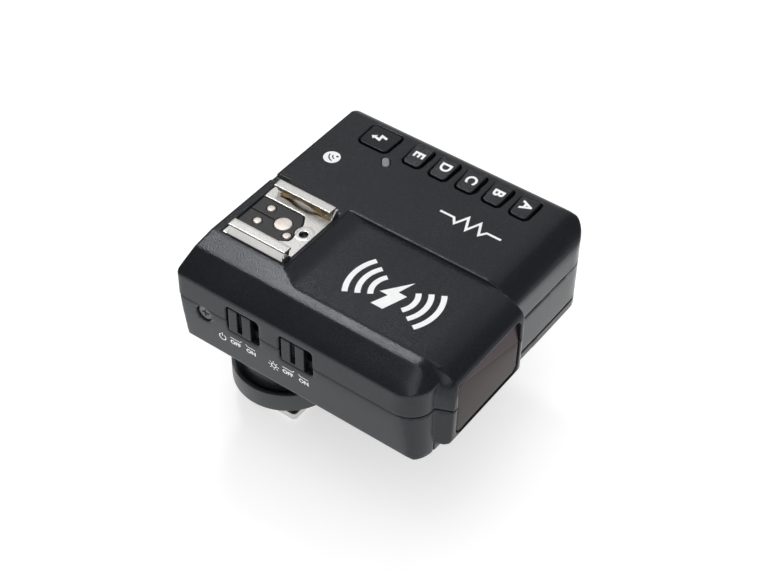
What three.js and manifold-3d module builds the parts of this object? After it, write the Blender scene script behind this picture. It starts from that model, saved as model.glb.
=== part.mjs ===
// Camera-top wireless flash trigger, built from separate pieces.
// Millimetres. +Z is up, the assist-lamp nose looks along -Y, the display looks along +Y,
// the group keys are along the +X edge and the slide switches are on the -X side.
// The origin is the middle of the underside of the mounting foot.
import * as THREE from 'three';
import Module from 'manifold-3d';

const wasm = await Module();
wasm.setup();

// ---- driving dimensions ----
const GAP = 0.3;                 // clearance around pieces that sit in a hole
const TOP = 55.05;               // height of the top deck
const PANEL = 54.05;             // lowered front panel
const PANEL_LEFT = -14.3;        // switch-side border of that panel
const PARTING = 44.4;            // casing joint line
const WALL = 1.7;                // casing wall thickness
const LEFT = -24.2;              // switch side
const RIGHT = 45.9;              // key side
const REAR = 12.3;
const FRONT = -56.8;
const FRONT_LEFT = -55.7;        // the front wall leans back a little on the switch side
const FLOOR = 30.0;              // underside of the main body
const BOSS_BOTTOM = 10.35;
const NOSE = { left: -17.9, right: 13.0, face: -59.7, bottom: 32.9 };
const LENS = { x0: -14.4, x1: 10.5, z0: 34.7, z1: 50.7, corner: 2.2 };
const SHOE = { half: 10.25, lip: 3.05, wall: 0.75, front: -8.2, rear: 8.35, top: 57.7, floor: 55.0 };
const FOOT = { width: 18.5, length: 18, thick: 2.0 };
const RING = { outer: 14.25, inner: 9.6, bottom: 5.2, top: 10.05, rim: 10.95, rimInner: 13.1 };
const CELL = { radius: 7.1, length: 49.2, z: 39.0, x: 11.6 };
const KEY = { width: 5.1, x0: 34.7, x1: 41.8, low: 55.3, high: 55.95, pitch: 7.68, first: -42.0 };
const SLOT = { depth: 9.5, z0: 41.2, z1: 49.0 };
const DIAL = { x: -7.5, z: 37.5, outer: 9.5, inner: 5.2 };
const PANEL_FACE = 10.6;         // outer face of the rear panel

const root = new THREE.Group();
root.name = 'wireless_flash_trigger';

// ---- solids ----
function toSolid(geometry) {
  const plain = geometry.clone();
  plain.deleteAttribute('normal');
  plain.deleteAttribute('uv');
  const position = plain.getAttribute('position');
  const index = plain.getIndex();
  const count = index ? index.count : position.count;
  const known = new Map();
  const vertices = [];
  const triangles = [];
  for (let i = 0; i < count; i += 1) {
    const at = index ? index.getX(i) : i;
    const point = [position.getX(at), position.getY(at), position.getZ(at)];
    const key = point.map((value) => Math.round(value * 1e4)).join('_');
    if (!known.has(key)) {
      known.set(key, vertices.length / 3);
      vertices.push(...point);
    }
    triangles.push(known.get(key));
  }
  const kept = [];
  for (let i = 0; i < triangles.length; i += 3) {
    const [a, b, c] = triangles.slice(i, i + 3);
    if (a !== b && b !== c && a !== c) {
      kept.push(a, b, c);
    }
  }
  return new wasm.Manifold(new wasm.Mesh({
    numProp: 3,
    vertProperties: new Float32Array(vertices),
    triVerts: new Uint32Array(kept),
  }));
}

function box(x0, x1, y0, y1, z0, z1) {
  const geometry = new THREE.BoxGeometry(x1 - x0, y1 - y0, z1 - z0);
  geometry.translate((x0 + x1) / 2, (y0 + y1) / 2, (z0 + z1) / 2);
  return toSolid(geometry);
}

function rounded(points, radii, steps = 6) {
  const outline = [];
  points.forEach((point, i) => {
    const corner = new THREE.Vector2(...point);
    const before = new THREE.Vector2(...points[(i + points.length - 1) % points.length]).sub(corner).normalize();
    const after = new THREE.Vector2(...points[(i + 1) % points.length]).sub(corner).normalize();
    const radius = Array.isArray(radii) ? radii[i] : radii;
    const half = before.angleTo(after) / 2;
    if (radius <= 0) {
      outline.push(corner);
      return;
    }
    const middle = before.clone().add(after).normalize();
    const centre = corner.clone().addScaledVector(middle, radius / Math.sin(half));
    const start = corner.clone().addScaledVector(before, radius / Math.tan(half)).sub(centre);
    const end = corner.clone().addScaledVector(after, radius / Math.tan(half)).sub(centre);
    const turn = Math.atan2(start.x * end.y - start.y * end.x, start.dot(end));
    for (let step = 0; step <= steps; step += 1) {
      const angle = (turn * step) / steps;
      outline.push(new THREE.Vector2(
        centre.x + start.x * Math.cos(angle) - start.y * Math.sin(angle),
        centre.y + start.x * Math.sin(angle) + start.y * Math.cos(angle),
      ));
    }
  });
  return outline;
}

function rectangle(x0, x1, y0, y1) {
  return [[x0, y0], [x1, y0], [x1, y1], [x0, y1]];
}

function extrude(outline, depth) {
  const points = outline.map((point) => (Array.isArray(point) ? new THREE.Vector2(...point) : point));
  return new THREE.ExtrudeGeometry(new THREE.Shape(points), { depth, bevelEnabled: false, curveSegments: 8 });
}

// outline drawn in plan, extruded upwards
function plate(outline, z0, z1) {
  const geometry = extrude(outline, z1 - z0);
  geometry.translate(0, 0, z0);
  return toSolid(geometry);
}

// outline drawn as (x, z), extruded along y
function slabY(outline, y0, y1) {
  const geometry = extrude(outline, y1 - y0);
  geometry.rotateX(Math.PI / 2);
  geometry.translate(0, y1, 0);
  return toSolid(geometry);
}

// outline drawn as (y, z), extruded along x
function slabX(outline, x0, x1) {
  const geometry = extrude(outline, x1 - x0);
  geometry.rotateX(Math.PI / 2);
  geometry.rotateZ(Math.PI / 2);
  geometry.translate(x0, 0, 0);
  return toSolid(geometry);
}

function cylinderZ(x, y, radius, z0, z1, segments = 24) {
  const geometry = new THREE.CylinderGeometry(radius, radius, z1 - z0, segments);
  geometry.rotateX(Math.PI / 2);
  geometry.translate(x, y, (z0 + z1) / 2);
  return toSolid(geometry);
}

function cylinderY(x, z, radius, y0, y1, segments = 32) {
  const geometry = new THREE.CylinderGeometry(radius, radius, y1 - y0, segments);
  geometry.translate(x, (y0 + y1) / 2, z);
  return toSolid(geometry);
}

function cylinderX(y, z, radius, x0, x1, segments = 24) {
  const geometry = new THREE.CylinderGeometry(radius, radius, x1 - x0, segments);
  geometry.rotateZ(Math.PI / 2);
  geometry.translate((x0 + x1) / 2, y, z);
  return toSolid(geometry);
}

// profile of [radius, height] turned about the z axis
function turned(profile, x, y, segments = 32) {
  const geometry = new THREE.LatheGeometry(profile.map((point) => new THREE.Vector2(...point)), segments);
  geometry.rotateX(Math.PI / 2);
  geometry.translate(x, y, 0);
  return toSolid(geometry);
}

const FINISH = {
  casing: [0x2c2d30, 0.55, 0],
  key: [0x1f2022, 0.5, 0],
  rubber: [0x191a1b, 0.85, 0],
  metal: [0xb9b7b2, 0.3, 0.9],
  brass: [0xa58a4a, 0.35, 0.9],
  lens: [0x4b4246, 0.15, 0],
  window: [0x15181a, 0.1, 0],
  board: [0x1f5a35, 0.6, 0],
  pale: [0xb8bcb8, 0.5, 0],
  cell: [0x3a6f8f, 0.35, 0.2],
};

function add(name, solid, finish) {
  const built = solid.getMesh();
  const geometry = new THREE.BufferGeometry();
  geometry.setAttribute('position', new THREE.BufferAttribute(new Float32Array(built.vertProperties), 3));
  geometry.setIndex(new THREE.BufferAttribute(new Uint32Array(built.triVerts), 1));
  geometry.computeVertexNormals();
  const [color, roughness, metalness] = FINISH[finish];
  const mesh = new THREE.Mesh(geometry, new THREE.MeshStandardMaterial({ color, roughness, metalness }));
  mesh.name = name;
  root.add(mesh);
}

function without(solid, ...cutters) {
  return cutters.reduce((left, cutter) => left.subtract(cutter), solid);
}

function joined(solid, ...others) {
  return others.reduce((whole, other) => whole.add(other), solid);
}

// ---- outlines shared by the two casing halves ----
const PLAN = rounded([[LEFT, REAR], [LEFT, FRONT_LEFT], [RIGHT, FRONT], [RIGHT, REAR]], [1.2, 6.5, 8, 3.5], 7);
const PLAN_INSIDE = rounded([[-22.3, 8.9], [-22.3, -53.8], [43.6, -54.9], [43.6, 8.9]], [0.8, 4.8, 6.3, 2], 5);
const UPPER_SECTION = [
  [LEFT, PARTING], [RIGHT, PARTING], [RIGHT, 51.2], [45.65, 52.6], [45.1, 53.8], [44.2, 54.6], [43.0, TOP],
  [-12.0, TOP], [-17.1, 54.2], [-19.2, 53.5], [-21.2, 52.7], [-22.8, 51.9], [-23.7, 51.3], [LEFT, 50.7],
];
const UPPER_SIDE = [
  [REAR, PARTING], [REAR, TOP], [-48.6, TOP], [-51.2, 54.45], [-53.6, 53.4], [-55.4, 52.1], [-56.4, 50.8],
  [FRONT, 49.4], [FRONT, PARTING],
];
const NOSE_SIDE = [
  [-50.4, PANEL], [-53.8, 53.65], [-56.4, 52.95], [-58.2, 52.25], [-59.2, 51.75], [-59.42, 51.15], [NOSE.face, PARTING],
  [-59.5, 34.6], [-59.0, 33.5], [-58.0, NOSE.bottom], [-50.4, NOSE.bottom],
];
const NOSE_PLAN = rounded(
  [[NOSE.left, -50.4], [NOSE.left, -54.5], [NOSE.left + 0.9, -59.8], [NOSE.right - 0.8, -59.8], [NOSE.right, -50.4]],
  [0, 0, 1.2, 1.6, 0],
  5,
);

function noseBlock(z0, z1) {
  const side = slabX(NOSE_SIDE, NOSE.left, NOSE.right);
  const across = slabY(UPPER_SECTION.concat([[LEFT, NOSE.bottom], [RIGHT, NOSE.bottom]]).slice(2, 14)
    .concat([[LEFT, NOSE.bottom], [RIGHT, NOSE.bottom]]), -60, -50);
  return side.intersect(plate(NOSE_PLAN, z0, z1)).intersect(across);
}

function lensOutline(inset) {
  return rounded(
    rectangle(LENS.x0 + inset, LENS.x1 - inset, LENS.z0 + inset, LENS.z1 - inset),
    [LENS.corner, LENS.corner, LENS.corner * 0.6, LENS.corner * 0.6],
    5,
  );
}

const SLOTS = [
  { name: 'power', y: -2.3 },
  { name: 'assist', y: -17.6 },
];
const KEYS = ['a', 'b', 'c', 'd', 'e'].map((letter, i) => ({ name: `key_${letter}`, y: KEY.first + i * KEY.pitch }));
const TEST_KEY = { x0: 34.6, x1: 41.75, y: 0.05, width: 8.5, low: 55.25, high: 55.3 };

function keyOutline(x0, x1, y, width, grow) {
  const narrow = width / 2 - 0.25;
  const points = [
    [x0 - grow, y - narrow - grow], [x1 + grow, y - width / 2 - grow],
    [x1 + grow, y + width / 2 + grow], [x0 - grow, y + narrow + grow],
  ];
  return rounded(points, [1.1 + grow, 0.9 + grow, 0.9 + grow, 1.1 + grow], 4);
}

function slotCut(slot) {
  return slabX(rounded(rectangle(slot.y - SLOT.depth, slot.y, SLOT.z0, SLOT.z1), 1.0, 4), LEFT - 1, LEFT + 3);
}

function panelOutline(inset) {
  return rounded(
    [
      [-20.5 + inset, 52.2 - inset], [-20.5 + inset, 30.7 + inset * 0.5], [-13.2 + inset * 0.5, 21.0 + inset],
      [14.3 - inset * 0.5, 21.0 + inset], [25.0 - inset * 0.5, 31.5 + inset], [42.5 - inset, 31.5 + inset],
      [42.5 - inset, 52.2 - inset],
    ],
    [1.5, 2, 2, 2, 0, 2, 1.5],
    4,
  );
}

const LAMP = { x: 32.0, y: -6.05, half: 0.75, radius: 0.9, turn: 0.634 };
function lampOutline(grow) {
  const reach = LAMP.half + LAMP.radius + grow;
  const points = rounded(rectangle(-reach, reach, -LAMP.radius - grow, LAMP.radius + grow), LAMP.radius + grow - 0.01, 6);
  return points.map((point) => point.rotateAround(new THREE.Vector2(0, 0), LAMP.turn).add(new THREE.Vector2(LAMP.x, LAMP.y)));
}

const PORT = { y0: -13, y1: 4.5, z0: 33.4, z1: 41.2, x: 43.9 };

// ---- top casing ----
{
  const shell = plate(PLAN, PARTING + GAP / 2, TOP + 1)
    .intersect(slabY(UPPER_SECTION, -61, 13))
    .intersect(slabX(UPPER_SIDE, -26, 47));
  const panelDrop = slabX([[-10.0, TOP + 1], [-10.0, TOP], [-11.2, TOP - 0.14], [-13.0, PANEL + 0.2], [-14.4, PANEL],
    [-61, PANEL], [-61, TOP + 1]], PANEL_LEFT, 12.8);
  let top = joined(shell.subtract(panelDrop), noseBlock(PARTING + GAP / 2, TOP));
  const inside = [
    [-22.3, PARTING], [43.6, PARTING], [43.6, 51.2], [42.4, 52.8], [-14.6, 52.8], [-16.5, 51.7], [-22.3, 49.8],
  ];
  const hollow = slabY(inside, -54.6, 8.9)
    .intersect(slabX([[-54.6, PARTING - 1], [8.9, PARTING - 1], [8.9, 53], [-50.6, 53], [-54.6, 50.6]], -23, 44))
    .intersect(plate(PLAN_INSIDE, PARTING - 1, 53));
  top = without(
    top,
    hollow,
    slabY(panelOutline(0), 8.0, 14),
    slabY(lensOutline(0), -61, -57),
    box(LENS.x0 + 0.6, LENS.x1 - 0.6, -57.9, -54, PARTING - 1, LENS.z1 - 0.6),
    slotCut(SLOTS[0]),
    slotCut(SLOTS[1]),
    plate(keyOutline(TEST_KEY.x0, TEST_KEY.x1, TEST_KEY.y, TEST_KEY.width, GAP), 52, 57),
    plate(lampOutline(0.12), 52, 57),
    // seat of the accessory shoe
    box(-SHOE.half, SHOE.half, -8.5, 9.85, SHOE.floor - 0.7, 57),
    plate(rounded(rectangle(-5.9, 5.5, -5.0, 9.8), 1.2, 4), 53.45, 57),
    box(10.55, 13.0, 8.2, 13, 54.45, 57),
    ...KEYS.map((key) => plate(keyOutline(KEY.x0, KEY.x1, key.y, KEY.width, GAP), 52, 57)),
  );
  add('top_casing', top, 'casing');
}

// ---- bottom casing ----
{
  const across = slabY([
    [LEFT, PARTING], [-23.2, 31.2], [-22.3, FLOOR], [44.0, FLOOR], [44.9, 31.2], [RIGHT, PARTING],
  ], -61, 13);
  const main = plate(PLAN, FLOOR, PARTING - GAP / 2).intersect(across);
  const pedestal = slabY([[-22.3, 30.2], [-12.9, 17.6], [-11.9, 16.8], [12.2, 16.8], [13.2, 17.4], [26.5, 30.2]], -22, 12)
    .intersect(slabX([[12, 30.2], [12, 16.8], [-12.0, 16.8], [-13.2, 17.6], [-21.5, 30.2]], -24, 28));
  const boss = cylinderZ(0, 0, 12.2, BOSS_BOTTOM, 17.0, 40);
  const side = slabX([
    [REAR - 0.1, 50], [10.4, 20.0], [9.7, 16.6], [9.7, 10.0], [-56.4, 10.0], [-56.4, 31.0], [FRONT, PARTING], [FRONT, 50],
  ], -26, 47);
  let bottom = joined(main, pedestal, boss).intersect(side);
  bottom = bottom.add(noseBlock(NOSE.bottom, PARTING - GAP / 2));
  const doorCut = joined(
    box(-17.6, 42.4, -58, -22.2, FLOOR - 1, 31.5),
    box(-17.6, 42.4, -58, -54.8, FLOOR - 1, 32.65),
  );
  const boards = box(-22.3, 43.4, -21.0, 8.9, 31.8, PARTING + 1);
  bottom = without(
    bottom,
    box(-16.2, 41.0, -54.6, -22.6, 29, PARTING + 1),
    boards,
    box(-22.3, -17.9, -51.0, -20.0, 31.8, PARTING + 1),
    box(LENS.x0 + 0.6, LENS.x1 - 0.6, -57.9, -54, LENS.z0 + 0.4, PARTING + 1),
    doorCut,
    slabY([[-14.2, 33], [-9.4, 20.4], [9.4, 20.4], [18.0, 33]], -10.6, 8.2),
    cylinderZ(0, 0, 9.5, 9, 13.5, 32),
    cylinderZ(0, -0.6, 8.4, 12.0, 21.5, 32),
    slabY(panelOutline(0), 8.0, 14),
    slabY(lensOutline(0), -61, -57),
    slotCut(SLOTS[0]),
    slotCut(SLOTS[1]),
    slabX(rounded(rectangle(PORT.y0, PORT.y1, PORT.z0, PORT.z1), [0, 0, 1.2, 1.2], 4), PORT.x, 47),
    slabX(rounded(rectangle(-10.8, -1.5, 35.6, 39.2), 1.5, 4), 42, 45),
    cylinderX(1.4, 37.4, 2.1, 42, 45, 20),
  );
  const screwPost = box(-22.6, -17.5, 2.4, 7.0, 39.6, 44.1);
  bottom = without(bottom.add(screwPost), cylinderX(4.7, 41.9, 2.2, -25, -22.6), cylinderX(4.7, 41.9, 1.1, -25, -18.5, 12));
  add('bottom_casing', bottom, 'casing');
}

// ---- accessory shoe on the deck ----
{
  const { half, lip, wall, front, rear, top, floor } = SHOE;
  const inner = half - wall;
  let rails = box(-half, half, -8.45, 9.8, floor - 0.65, floor);
  const opening = joined(
    plate(rounded([[-5.6, 9.9], [-5.6, -1.6], [-3.6, -4.8], [2.4, -4.0], [5.2, -2.4], [5.2, 9.9]], [0, 1, 1, 1.2, 1.2, 0], 4),
      floor - 1, floor + 1),
    cylinderZ(0, -6.0, 1.05, floor - 1, floor + 1, 16),
  );
  rails = rails.subtract(opening);
  for (const turn of [-1, 1]) {
    const outer = [[turn * half, floor - 0.2], [turn * half, top - 0.35], [turn * (half - 0.35), top],
      [turn * (half - lip), top], [turn * (half - lip), top - 0.7], [turn * inner, top - 0.7], [turn * inner, floor - 0.2]];
    rails = rails.add(slabY(turn < 0 ? outer : outer.reverse(), front, rear));
    const tab = [[turn * half, floor - 0.2], [turn * half, top - 1.0], [turn * (half - 1.0), top - 0.9],
      [turn * (half - 2.4), floor + 0.5], [turn * (half - 2.6), floor - 0.2]];
    rails = rails.add(slabY(turn < 0 ? tab : tab.reverse(), -8.45, -7.85));
  }
  add('shoe_rails', rails, 'metal');
  const insulatorOutline = rounded(
    [[-5.4, 9.6], [-5.4, -1.5], [-3.5, -4.55], [2.3, -3.8], [5.0, -2.3], [5.0, 9.6]],
    [0.2, 1, 1, 1.2, 1.2, 0.2],
    4,
  );
  const contacts = [
    { name: 'shoe_contact_centre', x: 0, y: 0, radius: 2.2 },
    { name: 'shoe_contact_a', x: 2.6, y: 5.6, radius: 1.05 },
    { name: 'shoe_contact_b', x: -2.6, y: 5.6, radius: 1.05 },
    { name: 'shoe_contact_c', x: -2.6, y: -3.1, radius: 1.05 },
  ];
  let insulator = plate(insulatorOutline, floor - 1.5, floor - 0.02);
  for (const contact of contacts) {
    insulator = insulator.subtract(cylinderZ(contact.x, contact.y, contact.radius + 0.1, 53, 56, 20));
    add(contact.name, turned([[0, 53.6], [contact.radius, 53.6], [contact.radius, floor - 0.05],
      [contact.radius - 0.3, floor + 0.1], [0, floor + 0.1]], contact.x, contact.y, 20), 'metal');
  }
  insulator = insulator.subtract(box(-0.12, 0.12, 2.6, 9.7, floor - 0.3, floor + 1));
  add('shoe_insulator', insulator, 'key');
  const spring = slabX([[-7.7, floor + 0.02], [-5.4, floor + 0.02], [-2.0, floor + 1.05], [1.5, floor + 1.15], [5.0, floor + 0.3],
    [6.9, floor + 0.25], [6.9, floor + 0.5], [5.0, floor + 0.55], [1.5, floor + 1.4], [-2.0, floor + 1.3], [-5.4, floor + 0.27],
    [-7.7, floor + 0.27]].reverse(), 7.3, 9.3);
  add('shoe_spring', spring.subtract(cylinderZ(8.3, -0.2, 0.6, 54, 58, 12)), 'brass');
}

// ---- assist lamp in the nose ----
{
  const face = slabX([[-57.7, 34], [-57.7, 51], [-58.6, 51], [-59.15, 47.2], [-59.3, 42], [-59.2, 34]].reverse(), -15, 11);
  add('assist_lens', slabY(lensOutline(0.25), -60, -57.7).intersect(face), 'lens');
  add('assist_board', box(-12.6, 8.8, -56.4, -55.4, 36.4, 49.4), 'board');
  add('assist_emitter', cylinderY(-1.9, 43.2, 2.4, -57.5, -56.4, 20), 'pale');
}

// ---- keys on the deck ----
// The top face leans: low at the middle of the deck, high at the casing's edge.
function keycap({ x0, x1, y, width, low, high }) {
  const cap = plate(keyOutline(x0, x1, y, width, 0), 51.0, high + 0.2);
  const flange = plate(keyOutline(x0, x1, y, width, 0.9), 51.4, 52.4).intersect(box(x0 - 2, 42.3, y - 9, y + 9, 51, 53));
  const slope = (high - low) / (x1 - x0);
  const over = slabY([[x0 - 2, low - 2 * slope], [x1 + 2, high + 2 * slope], [x1 + 2, high + 2], [x0 - 2, high + 2]].reverse(),
    y - 9, y + 9);
  return joined(cap.subtract(over), flange);
}
add('test_key', keycap(TEST_KEY), 'key');
for (const key of KEYS) {
  add(key.name, keycap({ ...KEY, y: key.y }), 'key');
}
{
  let mat = box(33.2, 42.2, -46.2, 4.6, 48.4, 49.3);
  for (const y of [...KEYS.map((key) => key.y), TEST_KEY.y]) {
    mat = mat.add(cylinderZ(37.9, y, 1.8, 49.2, 50.1, 14));
  }
  add('key_mat', mat, 'rubber');
  add('status_lamp', joined(plate(lampOutline(0), 52.75, TOP + 0.1), cylinderZ(31.5, -6.45, 0.6, 49.7, 53, 14)), 'pale');
}

// ---- slide switches ----
for (const slot of SLOTS) {
  const start = slot.y - 0.7;
  const end = start - 6.4;
  const low = SLOT.z0 + 0.35;
  const high = SLOT.z1 - 0.35;
  let knob = box(LEFT + 0.1, LEFT + 1.7, end, start, low, high);
  knob = knob.subtract(box(LEFT - 1, LEFT + 1.1, end + 2.5, end + 3.9, low + 0.7, high + 1));
  knob = knob.add(box(LEFT + 1.6, LEFT + 2.7, end + 2.0, start - 2.0, 44.0, 46.2));
  add(`${slot.name}_knob`, knob, 'key');
  const body = box(LEFT + 2.0, LEFT + 6.2, slot.y - SLOT.depth - 0.6, slot.y + 0.6, 40.4, 46.7);
  const window = box(LEFT + 1.8, LEFT + 3.2, slot.y - SLOT.depth + 1.3, slot.y - 1.3, 43.6, 46.6);
  add(`${slot.name}_switch_body`, body.subtract(window), 'rubber');
}

// ---- casing screw ----
{
  const head = joined(cylinderX(4.7, 41.9, 2.05, -23.4, -22.65), cylinderX(4.7, 41.9, 0.95, -22.7, -18.8, 12));
  const cross = joined(box(-24, -22.95, 3.6, 5.8, 41.65, 42.15), box(-24, -22.95, 4.45, 4.95, 40.8, 43.0));
  add('casing_screw', head.subtract(cross), 'metal');
}

// ---- boards inside ----
add('main_board', without(plate(rounded(rectangle(-17.4, 43.0, -53.6, 4.4), [1, 6.2, 1, 1], 4), 46.9, 48.1),
  box(-18, -14.0, -28.5, -1.2, 46, 49)), 'board');
add('rear_board', box(-17.2, 41.2, 5.2, 6.3, 33.0, 45.6), 'board');
add('radio_aerial', box(16.0, 30.0, -52.5, -45.5, 48.15, 49.0), 'brass');

// ---- rear panel, display, dial and buttons ----
{
  const buttons = [
    ...[37.0, 28.6, 20.2, 11.8].map((x, i) => ({ name: `function_button_${i + 1}`, x, z: 34.25, wide: 6.0, high: 2.7 })),
    { name: 'menu_button', x: 6.4, z: 25.6, wide: 7.0, high: 3.4 },
    { name: 'mode_button', x: -6.0, z: 25.6, wide: 7.0, high: 3.4 },
  ];
  const outline = (button, grow) => rounded(
    rectangle(button.x - button.wide / 2 - grow, button.x + button.wide / 2 + grow,
      button.z - button.high / 2 - grow, button.z + button.high / 2 + grow),
    0.9 + grow,
    4,
  );
  let panel = slabY(panelOutline(GAP), 8.9, PANEL_FACE);
  panel = without(
    panel,
    slabY(rounded(rectangle(8.7, 40.3, 36.9, 50.8), 1.2, 4), 9.5, 12),
    box(10.4, 38.6, 8, 12, 38.4, 49.4),
    cylinderY(DIAL.x, DIAL.z, DIAL.outer + GAP, 9.5, 12, 40),
    cylinderY(DIAL.x, DIAL.z, DIAL.inner + 1.6, 8, 12, 24),
    ...buttons.map((button) => slabY(outline(button, GAP), 8, 12)),
  );
  add('rear_panel', panel, 'casing');
  for (const button of buttons) {
    const cap = joined(slabY(outline(button, 0), 7.5, PANEL_FACE + 0.5), slabY(outline(button, 0.8), 7.5, 8.4));
    add(button.name, cap, 'key');
  }
  add('display_window', slabY(rounded(rectangle(9.0, 40.0, 37.2, 50.5), 1.0, 4), 9.6, PANEL_FACE + 0.05), 'window');
  add('display_module', box(10.6, 38.4, 6.7, 9.3, 38.6, 49.2), 'board');
  const rim = turned([[DIAL.inner, 0], [DIAL.outer, 0], [DIAL.outer, 2.0], [DIAL.outer - 0.6, 2.6], [DIAL.inner + 0.9, 2.6],
    [DIAL.inner, 2.1], [DIAL.inner, 0]], 0, 0, 44);
  const stem = turned([[DIAL.inner, -1.6], [DIAL.inner + 1.2, -1.6], [DIAL.inner + 1.2, 0.3], [DIAL.inner, 0.3],
    [DIAL.inner, -1.6]], 0, 0, 24);
  const place = (solid) => solid.rotate([-90, 0, 0]).translate([DIAL.x, 9.8, DIAL.z]);
  add('dial', place(rim.add(stem)), 'key');
  const setCap = turned([[0, -1.4], [DIAL.inner - 0.35, -1.4], [DIAL.inner - 0.35, 1.9], [DIAL.inner - 0.9, 2.3], [0, 2.3]], 0, 0, 28);
  add('set_button', place(setCap), 'key');
  add('dial_encoder', box(DIAL.x - 6, DIAL.x + 6, 6.35, 7.9, DIAL.z - 4.2, DIAL.z + 6), 'metal');
}

// ---- battery bay ----
{
  const lid = box(-17.3, 42.1, -56.2, -22.5, FLOOR, 31.3);
  const lip = box(-17.3, 42.1, -56.5, -55.0, FLOOR, 32.4);
  const corner = plate(PLAN, 29, 33);
  add('battery_door', joined(lid, lip).intersect(corner), 'casing');
  const { radius, length, z, x } = CELL;
  const rows = [{ name: 'cell_a', y: -47.2, turn: 1 }, { name: 'cell_b', y: -32.4, turn: -1 }];
  for (const row of rows) {
    const start = x - length / 2;
    const end = x + length / 2;
    const nub = row.turn > 0 ? cylinderX(row.y, z, 2.7, end - 0.1, end + 1.0, 16) : cylinderX(row.y, z, 2.7, start - 1.0, start + 0.1, 16);
    add(row.name, cylinderX(row.y, z, radius, start, end, 28).add(nub), 'cell');
  }
  const strip = (x0, x1) => box(x0, x1, -53.6, -26.0, 34.0, 44.0);
  add('battery_contact_left', strip(-15.7, -14.4), 'metal');
  add('battery_contact_right', strip(37.6, 39.2), 'metal');
}

// ---- ports and their cover ----
{
  const socket = slabX(rounded(rectangle(-10.5, -1.8, 35.9, 38.9), 1.3, 4), 36.5, 43.7);
  const hole = slabX(rounded(rectangle(-10.0, -2.3, 36.4, 38.4), 0.9, 4), 39, 44);
  const tongue = box(38.8, 42.6, -9.0, -3.3, 37.1, 37.7);
  add('usb_socket', socket.subtract(hole).add(tongue), 'metal');
  const jack = joined(cylinderX(1.4, 37.4, 1.95, 41.0, 43.7, 20), box(33.0, 41.2, -1.0, 3.9, 34.6, 40.2));
  add('sync_jack', jack.subtract(cylinderX(1.4, 37.4, 1.25, 36, 44, 16)), 'rubber');
  const flap = slabX(rounded(rectangle(PORT.y0 + GAP, PORT.y1 - GAP, PORT.z0 + 0.15, PORT.z1 - GAP), [0.2, 0.2, 1.0, 1.0], 4), PORT.x + 0.15, 45.1);
  add('port_cover', flap.subtract(box(44.6, 46, -6.6, -1.9, 39.9, 42)), 'rubber');
}

// ---- mounting foot ----
{
  const pins = [
    { name: 'foot_pin_centre', x: 0, y: 0, radius: 1.1, tip: -0.5 },
    { name: 'foot_pin_a', x: 2.6, y: 5.6, radius: 0.75, tip: -0.5 },
    { name: 'foot_pin_b', x: -2.6, y: 5.6, radius: 0.75, tip: -0.5 },
    { name: 'foot_pin_c', x: -2.6, y: -3.1, radius: 0.75, tip: -0.5 },
    { name: 'lock_pin', x: 0, y: -6.3, radius: 0.85, tip: 0.1 },
  ];
  const halfWidth = FOOT.width / 2;
  const halfLength = FOOT.length / 2;
  let base = plate(rounded(rectangle(-halfWidth, halfWidth, -halfLength, halfLength), [1.2, 1.2, 0.6, 0.6], 4), 0, FOOT.thick);
  base = base.subtract(box(-halfWidth + 0.9, halfWidth - 0.9, -halfLength + 0.9, halfLength - 0.9, 1.0, 3));
  let block = joined(
    box(-halfWidth + 1.0, halfWidth - 1.0, -halfLength + 1.0, halfLength - 1.0, 1.0, 1.9),
    box(-6.15, 6.15, -7.7, 7.7, 1.5, 4.9),
    cylinderZ(0, 0, 9.3, 4.85, 12.9, 36),
  );
  for (const pin of pins) {
    base = base.subtract(cylinderZ(pin.x, pin.y, pin.radius + 0.2, -1, 3, 16));
    block = block.subtract(cylinderZ(pin.x, pin.y, pin.radius + 0.15, 0, 14, 16));
    add(pin.name, turned([[0, pin.tip], [pin.radius * 0.6, pin.tip], [pin.radius, pin.tip + 0.35], [pin.radius, 9.5], [0, 9.5]],
      pin.x, pin.y, 16), pin.name === 'lock_pin' ? 'metal' : 'brass');
  }
  add('foot_plate', base, 'metal');
  add('foot_block', block, 'casing');
  const { outer, inner, bottom, top } = RING;
  add('lock_ring', turned([[inner, bottom], [outer - 0.5, bottom], [outer, bottom + 0.5], [outer, RING.rim - 0.25],
    [outer - 0.25, RING.rim], [RING.rimInner, RING.rim], [RING.rimInner, top], [inner, top], [inner, bottom]], 0, 0, 48), 'casing');
}

export default root;
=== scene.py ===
"""Looks of the wireless flash trigger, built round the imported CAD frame.

Shapes are written in millimetres in the row frame and turned into metres as they are made.
Moulded and pressed pieces are modelled as signed distances on a fine grid, so that every edge
carries its real radius, and are meshed from there.
"""
import math

import bmesh
import bpy
import numpy as np
import openvdb
from mathutils import Matrix, Vector


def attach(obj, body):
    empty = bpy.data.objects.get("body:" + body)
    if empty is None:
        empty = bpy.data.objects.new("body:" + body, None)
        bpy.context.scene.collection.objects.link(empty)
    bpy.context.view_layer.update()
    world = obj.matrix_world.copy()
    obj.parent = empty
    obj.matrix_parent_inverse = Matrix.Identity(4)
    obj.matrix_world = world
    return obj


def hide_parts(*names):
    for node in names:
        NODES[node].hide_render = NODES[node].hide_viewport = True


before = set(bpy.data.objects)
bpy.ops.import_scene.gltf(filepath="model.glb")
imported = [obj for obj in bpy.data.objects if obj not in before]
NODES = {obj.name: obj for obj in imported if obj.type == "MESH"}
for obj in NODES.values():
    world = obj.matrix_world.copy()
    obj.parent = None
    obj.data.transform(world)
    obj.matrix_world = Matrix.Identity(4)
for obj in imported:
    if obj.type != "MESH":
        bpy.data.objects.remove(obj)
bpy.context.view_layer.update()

MM = 0.001
GAP = 0.3
TOP, PANEL, PARTING = 55.05, 54.05, 44.4
LEFT, RIGHT, REAR, FRONT, FRONT_LEFT = -24.2, 45.9, 12.3, -56.8, -55.7
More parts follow.
